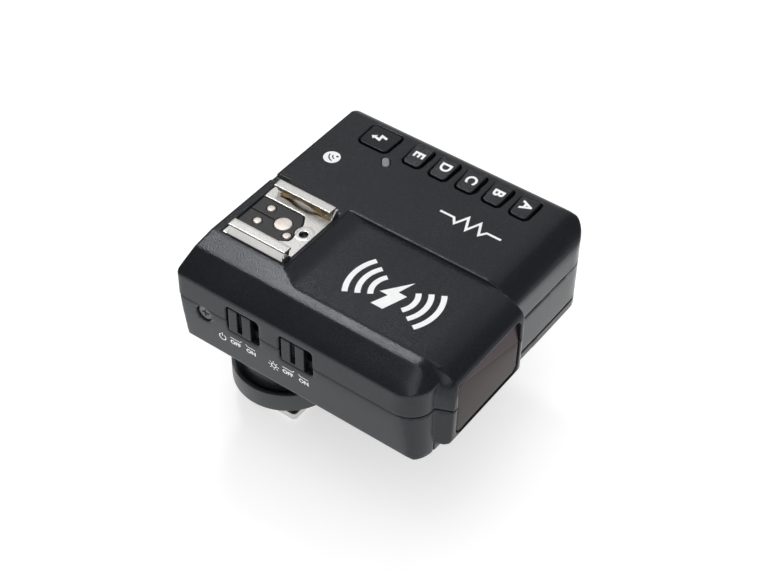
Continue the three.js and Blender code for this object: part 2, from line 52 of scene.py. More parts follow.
INNER_LEFT, INNER_RIGHT, INNER_REAR, INNER_FRONT = -22.3, 43.6, 8.9, -54.6
JOINT = 0.15             # each casing half stops this far from the parting line
DRAFT = 0.0755           # lean of the side walls below the parting line
FLOOR, BOSS_BOTTOM = 30.0, 10.35
NOSE_LEFT, NOSE_RIGHT, NOSE_FACE, NOSE_BOTTOM = -17.9, 13.0, -59.7, 32.9
LENS_X0, LENS_X1, LENS_Z0, LENS_Z1 = -14.4, 10.5, 34.7, 50.7
LENS_CREASE = (-13.5, -59.2, 50.3), (10.5, -59.2, 44.4)
KEY_GAP = 0.5
KEY_X0, KEY_X1, KEY_WIDE, KEY_LOW, KEY_HIGH = 34.7, 41.8, 5.1, 55.3, 55.95
KEYS = [("key_" + letter, -42.0 + 7.68 * i, letter.upper()) for i, letter in enumerate("abcde")]
TEST_X0, TEST_X1, TEST_Y, TEST_WIDE, TEST_LOW, TEST_HIGH = 34.6, 41.75, 0.05, 8.5, 55.25, 55.3
SLOT_Z0, SLOT_Z1, SLOT_DEPTH = 41.2, 49.0, 9.5
SLOTS = [("power", -2.3), ("assist", -17.6)]
DIAL_X, DIAL_Z, DIAL_BACK, DIAL_OUTER, DIAL_INNER = -7.5, 37.5, 9.8, 9.5, 5.2
WINDOW_X0, WINDOW_X1, WINDOW_Z0, WINDOW_Z1 = 9.0, 40.0, 37.2, 50.5
FACE = 10.6              # outer face of the rear panel
LAMP_X, LAMP_Y, LAMP_TURN = 32.0, -6.05, 0.634
SHOE_FLOOR, SHOE_TOP, SHOE_HALF = 55.0, 57.7, 10.25
SCREW = 4.7, 41.9
CONTACTS = [("centre", 0, 0), ("a", 2.6, 5.6), ("b", -2.6, 5.6), ("c", -2.6, -3.1)]
EDGE = 0.28              # usual radius on moulded edges
CORNER = 0.18            # radius round small openings


# ---- distances and outlines
def unit(vector):
    return vector / np.linalg.norm(vector)


def rounded(points, radii, steps=10):
    """The closed outline with its corners rounded, counter-clockwise or clockwise as given."""
    outline = []
    for i, point in enumerate(points):
        corner = np.array(point, float)
        before = unit(np.array(points[i - 1], float) - corner)
        after = unit(np.array(points[(i + 1) % len(points)], float) - corner)
        radius = radii[i] if isinstance(radii, (list, tuple)) else radii
        if radius <= 0:
            outline.append(tuple(corner))
            continue
        half = math.acos(max(-1, min(1, float(before @ after)))) / 2
        centre = corner + unit(before + after) * radius / math.sin(half)
        start = corner + before * radius / math.tan(half) - centre
        end = corner + after * radius / math.tan(half) - centre
        turn = math.atan2(start[0] * end[1] - start[1] * end[0], float(start @ end))
        for step in range(steps + 1):
            a = turn * step / steps
            outline.append((centre[0] + start[0] * math.cos(a) - start[1] * math.sin(a),
                            centre[1] + start[0] * math.sin(a) + start[1] * math.cos(a)))
    return outline


def rectangle(x0, x1, y0, y1):
    return [(x0, y0), (x1, y0), (x1, y1), (x0, y1)]


def flowing(points, steps=6):
    """A smooth curve through the points."""
    p = np.array([points[0], *points, points[-1]], float)
    p[0], p[-1] = 2 * p[1] - p[2], 2 * p[-2] - p[-3]
    out = []
    for i in range(1, len(p) - 2):
        for step in range(steps):
            t = step / steps
            a, b, c, d = p[i - 1:i + 3]
            out.append(tuple(0.5 * (2 * b + (c - a) * t + (2 * a - 5 * b + 4 * c - d) * t * t
                                    + (3 * b - a - 3 * c + d) * t ** 3)))
    return out + [tuple(p[-2])]


def outline_distance(points, u, v):
    """Signed distance to a closed outline over the grid u by v, negative inside."""
    u, v = u[:, None], v[None, :]
    nearest = np.full(np.broadcast(u, v).shape, 1e9, np.float32)
    inside = np.zeros(nearest.shape, bool)
    for (ax, ay), (bx, by) in zip(points, points[1:] + points[:1]):
        ex, ey = bx - ax, by - ay
        along = np.clip(((u - ax) * ex + (v - ay) * ey) / max(ex * ex + ey * ey, 1e-12), 0, 1)
        nearest = np.minimum(nearest, (u - ax - along * ex) ** 2 + (v - ay - along * ey) ** 2)
        if ay != by:
            inside ^= ((ay > v) != (by > v)) & (u < (v - ay) / (by - ay) * ex + ax)
    return np.where(inside, -1, 1).astype(np.float32) * np.sqrt(nearest)


def both(a, b, radius):
    """What lies in a and in b, its shared edge rounded."""
    if radius <= 0:
        return np.maximum(a, b)
    corner = np.sqrt(np.maximum(a + radius, 0) ** 2 + np.maximum(b + radius, 0) ** 2)
    return np.minimum(np.maximum(a, b), -radius) + corner


def either(a, b, radius):
    return -both(-a, -b, radius)


def extruded(axis, sheet, low, high, start, end, edge):
    """A flat shape, given as distances over its own plane, drawn out along an axis."""
    flat = [i for i in range(3) if i != axis]
    shape = [-1 if i == axis else 1 for i in range(3)]

    def distance(grid):
        across = np.expand_dims(sheet(grid[flat[0]], grid[flat[1]]), axis)
        along = (np.abs(grid[axis] - (start + end) / 2) - (end - start) / 2).reshape(shape)
        return both(across, along, edge)

    low, high = list(low), list(high)
    low.insert(axis, start)
    high.insert(axis, end)
    return low, high, distance


def prism(axis, points, start, end, edge=0.0):
    """An outline along an axis. x takes (y, z), y takes (x, z) and z takes (x, y)."""
    points = [tuple(map(float, p)) for p in points]
    return extruded(axis, lambda u, v: outline_distance(points, u, v),
                    map(min, zip(*points)), map(max, zip(*points)), start, end, edge)


def block(x0, x1, y0, y1, z0, z1, edge=0.0):
    return prism(2, rectangle(x0, x1, y0, y1), z0, z1, edge)


def rod(axis, centre, radius, start, end, edge=0.0):
    """A round bar along an axis; centre is its place in the other two directions."""
    a, b = centre
    return extruded(axis, lambda u, v: np.sqrt((u[:, None] - a) ** 2 + (v[None, :] - b) ** 2) - radius,
                    (a - radius, b - radius), (a + radius, b + radius), start, end, edge)


class Clay:
    """One solid held as signed distances on a grid of the given step."""

    def __init__(self, low, high, step):
        self.step = step
        self.axes = [np.arange(a - 4 * step, b + 4 * step, step, dtype=np.float32)
                     for a, b in zip(low, high)]
        self.far = 8 * step
        self.field = np.full([len(a) for a in self.axes], self.far, np.float32)

    def _join(self, shape, edge, how):
        low, high, distance = shape
        margin = edge + 3 * self.step
        spans, grid = [], []
        for axis, a, b in zip(self.axes, low, high):
            first = max(int(np.searchsorted(axis, a - margin)) - 1, 0)
            spans.append(slice(first, int(np.searchsorted(axis, b + margin)) + 1))
            grid.append(axis[spans[-1]])
        if min(map(len, grid)) > 0:
            self.field[tuple(spans)] = how(self.field[tuple(spans)], distance(grid), edge)

    def add(self, shape, edge=0.0):
        self._join(shape, edge, either)

    def cut(self, shape, edge=0.0):
        self._join(shape, edge, lambda here, there, radius: both(here, -there, radius))

    def keep(self, shape, edge=0.0):
        self.field = both(self.field, shape[2](self.axes), edge).astype(np.float32)

    def mesh(self, name, adaptivity=0.01):
        field = np.clip(self.field, -self.far, self.far)
        grid = openvdb.FloatGrid(self.far)
        grid.copyFromArray(np.ascontiguousarray(field))
        points, triangles, quads = grid.convertToPolygons(0.0, adaptivity)
        start = np.array([a[0] for a in self.axes])
        points = (np.array(points) * self.step + start) * MM
        mesh = bpy.data.meshes.new(name)
        triangles, quads = np.array(triangles).reshape(-1, 3), np.array(quads).reshape(-1, 4)
        corners = np.concatenate([triangles.ravel(), quads.ravel()]).astype(np.int32)
        sizes = np.concatenate([np.full(len(triangles), 3), np.full(len(quads), 4)]).astype(np.int32)
        mesh.vertices.add(len(points))
        mesh.vertices.foreach_set("co", points.astype(np.float32).ravel())
        mesh.loops.add(len(corners))
        mesh.loops.foreach_set("vertex_index", corners)
        mesh.polygons.add(len(sizes))
        mesh.polygons.foreach_set("loop_start", (np.cumsum(sizes) - sizes).astype(np.int32))
        mesh.update(calc_edges=True)
        mesh.validate()
        return mesh


def lathe(name, profile, place, axis=2, turns=72, ribs=(0.28, 0.07, 0, 0.07)):
    """A turned mesh. The profile is (radius, height) from the axis out and back to it, or a closed ring.

    A third value in a profile point marks it as knurled.
    """
    verts, faces, rows = [], [], []
    for radius, height, *knurled in profile:
        count = turns if radius else 1
        rows.append(range(len(verts), len(verts) + count))
        for k in range(count):
            a, r = 2 * math.pi * k / turns, radius - (ribs[k % 4] if knurled else 0)
            x, y, z = r * math.cos(a), r * math.sin(a), height
            x, y, z = (x, z, -y) if axis == 1 else (x, y, z)
            verts.append(((x + place[0]) * MM, (y + place[1]) * MM, (z + place[2]) * MM))
    for a, b in zip(rows, rows[1:] + ([rows[0]] if profile[0][0] else [])):
        for k in range(turns):
            n = (k + 1) % turns
            quad = [a[k % len(a)], a[n % len(a)], b[n % len(b)], b[k % len(b)]]
            face = [v for i, v in enumerate(quad) if v not in quad[:i]]
            if len(face) > 2:
                faces.append(face)
    mesh = bpy.data.meshes.new(name)
    mesh.from_pydata(verts, [], faces)
    outward(mesh)
    return mesh


def outward(mesh):
    """Joins corners that coincide and turns every face outwards."""
    b = bmesh.new()
    b.from_mesh(mesh)
    bmesh.ops.remove_doubles(b, verts=b.verts, dist=0.001 * MM)
    bmesh.ops.recalc_face_normals(b, faces=b.faces)
    b.to_mesh(mesh)
    b.free()


def show(mesh, body, replaced=(), finish=None, smooth=True):
    """Puts a mesh in the scene as a piece of the object, under the mesh's own name."""
    piece = bpy.data.objects.new(mesh.name, mesh)
    bpy.context.scene.collection.objects.link(piece)
    mesh.polygons.foreach_set("use_smooth", [smooth] * len(mesh.polygons))
    mesh.materials.clear()
    mesh.materials.append(finish)
    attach(piece, body)
    if replaced:
        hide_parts(*replaced)


# ---- materials
class Look:
    """A procedural surface: tone, grain, fine scratches and rubbed edges over one Principled shader."""

    def __init__(self, name, colour, roughness, metallic=0.0):
        self.material = bpy.data.materials.new(name)
        self.material.use_nodes = True
        self.tree = self.material.node_tree
        self.tree.nodes.clear()
        self.shader = self.node("BsdfPrincipled", Metallic=metallic)
        self.tree.links.new(self.shader.outputs[0], self.node("OutputMaterial").inputs[0])
        self.place = self.node("TexCoord").outputs["Object"]
        self.colour = self.mix(0.0, (*colour, 1), (*colour, 1))
        self.roughness = self.math("ADD", roughness, 0.0)
        self.normal = None

    def feed(self, node, values):
        """Sets inputs, by place or by name, to constants or links."""
        for key, value in values.items():
            socket = node.inputs[key.replace("_", " ") if isinstance(key, str) else key]
            if isinstance(value, bpy.types.NodeSocket):
                self.tree.links.new(value, socket)
            elif value is not None:
                socket.default_value = value

    def node(self, kind, *placed, **named):
        node = self.tree.nodes.new("ShaderNode" + kind)
        self.feed(node, {**dict(enumerate(placed)), **named})
        return node

    def set(self, **values):
        self.feed(self.shader, values)
        return self

    def math(self, operation, a, b, clamp=False):
        node = self.node("Math", a, b)
        node.operation, node.use_clamp = operation, clamp
        return node.outputs[0]

    def mix(self, amount, a, b):
        node = self.node("Mix")
        node.data_type = "RGBA"
        self.feed(node, {0: amount, 6: a, 7: b})
        return node.outputs[2]

    def spread(self, value, low, high, to_low=0.0, to_high=1.0):
        return self.node("MapRange", value, low, high, to_low, to_high).outputs[0]

    def noise(self, scale, detail=3.0, stretch=None, turn=(0, 0, 0)):
        source = self.place
        if stretch:
            source = self.node("Mapping", Vector=source, Scale=stretch, Rotation=turn).outputs[0]
        return self.node("TexNoise", Scale=scale, Detail=detail, Vector=source).outputs[0]

    def paint(self, mask, colour):
        self.colour = self.mix(mask, self.colour, (*colour, 1))
        return self

    def roughen(self, amount):
        self.roughness = self.math("ADD", self.roughness, amount)
        return self

    def tone(self, amount, scale, colour, detail=3.0):
        """Large, soft change of colour."""
        return self.paint(self.spread(self.noise(scale, detail), 0.35, 0.65, 0.0, amount), colour)

    def bump(self, height, depth):
        self.normal = self.node("Bump", Strength=1.0, Distance=depth * MM, Height=height,
                                Normal=self.normal).outputs[0]
        return self

    def grain(self, scale, depth, rough=0.05):
        """Moulded texture: fine rounded grains with an uneven sheen."""
        fine = self.noise(scale, 2.0)
        cells = self.node("TexVoronoi", Scale=scale * 0.6, Vector=self.place).outputs["Distance"]
        self.roughen(self.spread(fine, 0.3, 0.7, -rough, rough))
        return self.bump(self.math("ADD", fine, self.math("MULTIPLY", cells, 0.6)), depth)

    def sheen_patches(self, amount, scale=90.0):
        """Slightly polished and dull patches from handling."""
        return self.roughen(self.spread(self.noise(scale, 4.0), 0.3, 0.7, -amount, amount))

    def scratches(self, amount, colour, stretch=(1, 14, 14), scale=260.0, turn=(0, 0, 0.35)):
        mask = self.spread(self.noise(scale, 2.0, stretch, turn), 0.66, 0.74, 0.0, amount)
        return self.paint(mask, colour).roughen(self.math("MULTIPLY", mask, 0.25))

    def brushed(self, stretch, depth, rough, scale=500.0):
        lines = self.noise(scale, 3.0, stretch)
        return self.roughen(self.spread(lines, 0.3, 0.7, -rough, rough)).bump(lines, depth)

    def rubbed(self, amount, colour, width=0.25, rough=-0.08):
        """Edges worn a little paler and smoother."""
        bevel = self.node("Bevel", Radius=width * MM)
        bevel.samples = 4
        dot = self.node("VectorMath", bevel.outputs[0], self.node("NewGeometry").outputs["Normal"])
        dot.operation = "DOT_PRODUCT"
        edge = self.spread(dot.outputs["Value"], 0.995, 0.93, 0.0, 1.0)
        broken = self.spread(self.noise(900.0, 4.0), 0.42, 0.62, 0.25, 1.0)
        mask = self.math("MULTIPLY", self.math("MULTIPLY", edge, broken), amount)
        return self.paint(mask, colour).roughen(self.math("MULTIPLY", mask, rough))

    def painted_upper_facet_reflection(self, colour):
        """Painted reflection: a paler tone above the crease of the lamp lens, standing in for the brighter
        light that the upper facet mirrors.
        """
        split = self.node("SeparateXYZ", self.place)
        (x0, _, z0), (x1, _, z1) = LENS_CREASE
        slope = (z1 - z0) / (x1 - x0)
        over = self.math("SUBTRACT", split.outputs["Z"], self.math("MULTIPLY", split.outputs["X"], slope))
        level, soft = (z0 - slope * x0) * MM, 0.05 * MM
        return self.paint(self.spread(over, level - soft, level + soft), colour)

    def done(self):
        self.set(Base_Color=self.colour, Roughness=self.math("MAXIMUM", self.roughness, 0.03, True),
                 Normal=self.normal)
        return self.material


CASING = (Look("casing_plastic_look", (0.0082, 0.0088, 0.0106), 0.20)
          .tone(0.6, 40.0, (0.0130, 0.0135, 0.0152))
          .tone(0.9, 4600.0, (0.0165, 0.0172, 0.0195), 1.0).grain(4600.0, 0.026, 0.07)
          .sheen_patches(0.03).scratches(0.04, (0.03, 0.03, 0.032))
          .rubbed(0.6, (0.050, 0.052, 0.055))
          .set(Specular_IOR_Level=0.315, Specular_Tint=(0.89, 0.94, 1.0, 1)).done())
KEYCAP = (Look("key_plastic_look", (0.0052, 0.0055, 0.0066), 0.26)
          .tone(0.5, 120.0, (0.009, 0.0094, 0.0105)).grain(7000.0, 0.010, 0.04)
          .sheen_patches(0.05, 300.0).rubbed(0.25, (0.030, 0.031, 0.033))
          .set(Specular_IOR_Level=0.33, Specular_Tint=(0.89, 0.94, 1.0, 1)).done())
FOOT_PLASTIC = (Look("foot_plastic_look", (0.034, 0.037, 0.042), 0.38)
                .tone(0.6, 70.0, (0.042, 0.045, 0.050)).grain(6000.0, 0.006, 0.04)
                .sheen_patches(0.05, 200.0).rubbed(0.6, (0.11, 0.11, 0.11)).done())
SHOE_PLASTIC = (Look("shoe_plastic_look", (0.012, 0.012, 0.013), 0.42)
                .tone(0.6, 150.0, (0.016, 0.016, 0.017)).grain(9000.0, 0.005, 0.05)
                .rubbed(0.4, (0.06, 0.06, 0.06)).done())
RUBBER = (Look("rubber_look", (0.018, 0.018, 0.019), 0.72)
          .tone(0.7, 200.0, (0.026, 0.026, 0.027)).grain(11000.0, 0.008, 0.06)
          .rubbed(0.4, (0.05, 0.05, 0.052)).set(Specular_IOR_Level=0.35).done())
STEEL = (Look("plated_steel_look", (0.70, 0.69, 0.67), 0.27, 1.0)
         .tone(0.6, 160.0, (0.60, 0.59, 0.57)).brushed((4, 60, 60), 0.0005, 0.05)
         .scratches(0.12, (0.45, 0.44, 0.42), (2, 30, 30)).rubbed(0.5, (0.82, 0.81, 0.79)).done())
CONTACT = (Look("contact_look", (0.74, 0.69, 0.64), 0.42, 0.75)
           .tone(0.8, 500.0, (0.60, 0.55, 0.51)).brushed((50, 4, 50), 0.0008, 0.06)
           .scratches(0.3, (0.45, 0.41, 0.38), (3, 30, 30), 500.0).rubbed(0.5, (0.86, 0.82, 0.78)).done())
DARK_STEEL = (Look("dark_screw_look", (0.16, 0.16, 0.165), 0.42, 0.8)
              .tone(0.6, 500.0, (0.11, 0.11, 0.115)).brushed((3, 40, 40), 0.001, 0.06)
              .rubbed(0.6, (0.35, 0.35, 0.35)).done())
BRASS = (Look("brass_look", (0.55, 0.40, 0.20), 0.30, 1.0)
         .tone(0.9, 320.0, (0.20, 0.13, 0.07)).brushed((40, 4, 40), 0.002, 0.08)
         .rubbed(0.6, (0.86, 0.76, 0.56)).done())
# the lens's upper facet gets a paler base colour above its crease: a painted reflection, not a real change of
# tint
LENS = (Look("lamp_lens_look", (0.018, 0.0080, 0.0072), 0.13)
        .tone(0.5, 60.0, (0.022, 0.0115, 0.0105)).painted_upper_facet_reflection((0.052, 0.037, 0.042)).sheen_patches(0.03, 150.0)
        .scratches(0.10, (0.06, 0.05, 0.05), (1, 20, 20), 180.0)
        .set(IOR=1.165, Coat_Weight=0.01, Coat_Roughness=0.06).done())
GLASS = (Look("display_window_look", (0.012, 0.014, 0.015), 0.08)
         .tone(0.5, 50.0, (0.016, 0.019, 0.020)).sheen_patches(0.02, 120.0)
         .scratches(0.08, (0.05, 0.05, 0.05), (1, 24, 24), 150.0)
         .set(IOR=1.5, Coat_Weight=0.6, Coat_Roughness=0.04).done())
LCD = (Look("display_glass_look", (0.10, 0.115, 0.10), 0.18)
       .tone(0.6, 300.0, (0.12, 0.135, 0.115)).brushed((1, 1, 60), 0.0004, 0.03).done())
BOARD = (Look("circuit_board_look", (0.012, 0.075, 0.035), 0.42)
         .tone(0.7, 500.0, (0.020, 0.11, 0.05)).brushed((30, 1, 30), 0.004, 0.06, 700.0)
         .scratches(0.6, (0.30, 0.24, 0.12), (1, 9, 9), 900.0, (0, 0, 0)).done())
PALE = (Look("light_pipe_look", (0.17, 0.19, 0.20), 0.35)
        .tone(0.6, 700.0, (0.22, 0.24, 0.25)).grain(9000.0, 0.004, 0.05)
        .set(Subsurface_Weight=0.15, Subsurface_Radius=(0.001, 0.001, 0.001)).done())
CELL = (Look("cell_wrap_look", (0.05, 0.16, 0.24), 0.3)
        .tone(0.5, 100.0, (0.07, 0.20, 0.29)).brushed((60, 2, 2), 0.001, 0.05)
        .rubbed(0.5, (0.3, 0.3, 0.3)).done())
INK = (Look("white_ink_look", (0.86, 0.87, 0.87), 0.5)
       .tone(0.6, 500.0, (0.78, 0.79, 0.80)).grain(9000.0, 0.003, 0.06).done())


def dress(finish, *names):
    """Gives CAD nodes that keep their own shape their finish."""
    for name in names:
        mesh = NODES[name].data
        mesh.materials.clear()
        mesh.materials.append(finish)


dress(SHOE_PLASTIC, "power_switch_body", "assist_switch_body")
dress(RUBBER, "key_mat", "sync_jack")
dress(STEEL, "dial_encoder", "battery_contact_left", "battery_contact_right", "usb_socket")
dress(BRASS, "radio_aerial")
dress(BOARD, "assist_board", "main_board", "rear_board")
dress(LCD, "display_module")
dress(PALE, "assist_emitter")
dress(CELL, "cell_a", "cell_b")

# ---- outlines shared by the casing halves
PLAN = rounded([(LEFT, REAR), (LEFT, FRONT_LEFT), (RIGHT, FRONT), (RIGHT, REAR)], [1.2, 6.5, 8, 3.5], 16)
PLAN_INSIDE = rounded([(INNER_LEFT, INNER_REAR), (INNER_LEFT, -53.8), (INNER_RIGHT, -54.9),
                       (INNER_RIGHT, INNER_REAR)], [0.8, 4.8, 6.3, 2])
DECK_ACROSS = ([(LEFT - 1, 50.2), (LEFT, 51.0)] + flowing(
    [(-24.1, 51.1), (-23.7, 51.35), (-22.8, 51.9), (-21.2, 52.62), (-19.2, 53.38), (-17.1, 54.2)])
    + [(-11.3, TOP)]
    + flowing([(42.8, TOP), (44.2, 54.6), (45.1, 53.8), (45.65, 52.6), (RIGHT, 51.2), (46.2, 49)]))
DECK_ALONG = flowing([(-57.6, 47), (FRONT, 49.4), (-56.4, 50.8), (-55.4, 52.1), (-53.6, 53.4), (-51.2, 54.45),
                      (-48.6, TOP)]) + [(REAR + 2, TOP)]
NOSE_ALONG = [(-62, 30), (NOSE_FACE, 45), (-59.6, 48.6)] + flowing(
    [(-59.45, 49.8), (-59.1, 51.0), (-58.2, 52.1), (-56.4, 52.95), (-53.8, 53.65), (-50.4, PANEL)]) + [
    (-14.6, PANEL)] + flowing([(-14.0, PANEL + 0.03), (-13.0, PANEL + 0.18), (-11.6, PANEL + 0.5),
                               (-10.05, TOP - 0.14)]) + [(-9.75, TOP + 0.05), (-8.0, TOP + 3)]
PANEL_LEFT, PANEL_RIGHT = -14.3, 12.8
RIDGE = 0.56             # the chamfered border stands this much over the sunk panel
NOSE_BACK = -46.0
NOSE_SIDE = [(NOSE_BACK, 56), (-60.5, 56), (-60.5, 46), (NOSE_FACE, PARTING), (-59.5, 34.6), (-59.0, 33.5),
             (-58.0, NOSE_BOTTOM), (NOSE_BACK, NOSE_BOTTOM)]
NOSE_PLAN = rounded([(-17.1, NOSE_BACK), (-17.1, -49.5), (NOSE_LEFT, -55.5), (-16.0, NOSE_FACE - 0.1),
                     (NOSE_RIGHT - 0.8, NOSE_FACE - 0.1), (NOSE_RIGHT, -50.4), (NOSE_RIGHT, NOSE_BACK)],
                    [0, 4, 1.0, 1.1, 1.6, 0, 0])


def heights(line, at):
    """Height of a line of (place, height) at the given places."""
    line = sorted(line)
    return np.interp(at, [p[0] for p in line], [p[1] for p in line]).astype(np.float32)


def eased(amount):
    amount = np.clip(amount, 0, 1)
    return amount * amount * (3 - 2 * amount)


def under(height, grid):
    """Distance to a surface given as heights over (x, y), negative below it."""
    step = float(grid[0][1] - grid[0][0])
    slope_x, slope_y = np.gradient(height, step)
    steep = np.sqrt(1 + np.minimum(slope_x ** 2 + slope_y ** 2, 9))
    return (grid[2][None, None, :] - height[:, :, None]) / steep[:, :, None]


def deck(grid):
    """The top of the body: flat, rolling down to the walls and round the corners in one sweep."""
    across = TOP - heights(DECK_ACROSS, grid[0])[:, None]
    along = TOP - heights(DECK_ALONG, grid[1])[None, :]
    return under(TOP - np.sqrt(across ** 2 + along ** 2), grid)


def nose_top(grid):
    """The top of the lamp housing with its raised chamfer on the switch side."""
    fade = eased((grid[1] + 56.4) / 6.0)
    lean = 0.147 + 0.72 * eased((-50.0 - grid[1]) / 8.0)
    ridge = (RIDGE * fade)[None, :] - lean[None, :] * np.maximum(0, PANEL_LEFT - grid[0])[:, None]
    return under(heights(NOSE_ALONG, np.minimum(grid[1], -16))[None, :] + ridge, grid)


def nose(low, high, edge):
    """The block of the lamp housing between two heights."""
    side, plan = prism(0, NOSE_SIDE, NOSE_LEFT - 1, NOSE_RIGHT + 1), prism(2, NOSE_PLAN, low, high)
    return lambda grid: both(side[2](grid), plan[2](grid), edge)


def nose_low():
    """The lamp housing below the joint line."""
    return (NOSE_LEFT, -60, NOSE_BOTTOM), (NOSE_RIGHT, -50, PARTING), nose(NOSE_BOTTOM, PARTING - JOINT, 0.45)


def nose_high():
    """The lamp housing above the joint line."""
    body = nose(PARTING + JOINT, TOP + 4, 0.3)
    left = [(-17.1, -40), (-17.1, -49.5), (NOSE_LEFT, -55.5), (-13.4, -66), (30, -66), (30, -40)]
    left = prism(2, left, PARTING - 9, TOP + 9)

    def distance(grid):
        return both(body(grid), both(nose_top(grid), left[2](grid), 1.7), 0.3)

    return (NOSE_LEFT, -60, PARTING), (NOSE_RIGHT, -50, TOP), distance


def sunk_panel():
    """What is cleared away over the sunk front panel."""
    border = [(PANEL_LEFT, -66), (PANEL_RIGHT, -66), (PANEL_RIGHT, 4), (-11.4, 4), (-11.4, -9.4),
              (-12.3, -11.6), (PANEL_LEFT, -14.4)]
    plan = prism(2, rounded(border, [0, 0, 0.6, 0.3, 1.5, 2, 2]), PANEL - 20, TOP + 9)

    def distance(grid):
        floor = under(heights(NOSE_ALONG, grid[1])[None, :] + 0 * grid[0][:, None], grid)
        return both(plan[2](grid), -floor, 0.12)

    return (PANEL_LEFT, -62, 44.6), (PANEL_RIGHT, -8, TOP + 2), distance


def lens_outline(inset):
    lens = rectangle(LENS_X0 + inset, LENS_X1 - inset, LENS_Z0 + inset, LENS_Z1 - inset)
    return rounded(lens, [2.2, 2.2, 1.32, 1.32])


def key_outline(x0, x1, y, width, grow):
    x0, x1, wide = x0 - grow, x1 + grow, width / 2 + grow
    narrow = wide - 0.25
    points = [(x0, y - narrow), (x1, y - wide), (x1, y + wide), (x0, y + narrow)]
    return rounded(points, [1.1 + grow, 0.9 + grow, 0.9 + grow, 1.1 + grow])


def panel_outline(inset):
    return rounded([(-20.5 + inset, 52.2 - inset), (-20.5 + inset, 30.7 + inset * 0.5),
                    (-13.2 + inset * 0.5, 21.0 + inset), (14.3 - inset * 0.5, 21.0 + inset),
                    (25.0 - inset * 0.5, 31.5 + inset), (42.5 - inset, 31.5 + inset),
                    (42.5 - inset, 52.2 - inset)], [1.5, 2, 2, 2, 0, 2, 1.5])


def openings(clay):
    """What both casing halves leave open: the rear panel, the assist lens and the switch slots."""
    clay.cut(prism(1, panel_outline(0), 8.0, 14), CORNER)
    clay.cut(prism(1, lens_outline(0), -63, -57), CORNER)
    for _, y in SLOTS:
        slot = rounded(rectangle(y - SLOT_DEPTH, y, SLOT_Z0, SLOT_Z1), 1.0)
        clay.cut(prism(0, slot, LEFT - 2, LEFT + 3), 0.2)


def lamp_outline(grow):
    """The little status lamp, a lozenge pointing at the test key."""
    reach, radius = 1.65 + grow, 0.9 + grow
    points = rounded(rectangle(-reach, reach, -radius, radius), radius - 0.01, 12)
    c, s = math.cos(LAMP_TURN), math.sin(LAMP_TURN)
    return [(LAMP_X + x * c - y * s, LAMP_Y + x * s + y * c) for x, y in points]


def top_casing():
    clay = Clay((LEFT, -60.2, PARTING), (RIGHT, REAR, TOP + 0.3), 0.17)
    walls = prism(2, PLAN, PARTING + JOINT, TOP + 4)[2](clay.axes)
    clay.field = both(walls, deck(clay.axes), EDGE).astype(np.float32)
    clay.add(nose_high(), 0.05)
    clay.cut(sunk_panel(), 0.2)
    inside = [(INNER_LEFT, 43), (INNER_RIGHT, 43), (INNER_RIGHT, 51.2), (42.4, 52.8), (-14.6, 52.8),
              (-16.5, 51.7), (INNER_LEFT, 49.8)]
    low, high, within = prism(1, inside, INNER_FRONT, INNER_REAR)
    ceiling = [(INNER_FRONT, 43), (INNER_REAR, 43), (INNER_REAR, 53), (-50.6, 53), (INNER_FRONT, 50.6)]
    side, plan = prism(0, ceiling, -23, 44)[2], prism(2, PLAN_INSIDE, 43, 53)[2]
    clay.cut((low, high, lambda g: both(both(within(g), side(g), 0), plan(g), 0)))
    openings(clay)
    clay.cut(block(LENS_X0 + 0.6, LENS_X1 - 0.6, -57.9, -54, 43, LENS_Z1 - 0.6))
    clay.cut(prism(2, key_outline(TEST_X0, TEST_X1, TEST_Y, TEST_WIDE, KEY_GAP), 52, 58), 0.08)
    for _, y, _ in KEYS:
        clay.cut(prism(2, key_outline(KEY_X0, KEY_X1, y, KEY_WIDE, KEY_GAP), 52, 58), 0.08)
    clay.cut(prism(2, lamp_outline(0.12), 52, 58), 0.08)
    clay.cut(block(-SHOE_HALF, SHOE_HALF, -8.5, 9.85, 54.3, 58), 0.12)
    clay.cut(block(-11.6, PANEL_RIGHT, -9.85, -9.5, TOP - 0.2, TOP + 2), 0.04)
    clay.cut(prism(2, rounded(rectangle(-5.9, 5.5, -5.0, 9.8), 1.2), 53.45, 58))
    clay.cut(block(10.55, 13.0, 8.2, 14, 54.45, 58), 0.1)
    show(clay.mesh("top_casing_moulding", 0.02), "casing", ["top_casing"], CASING)


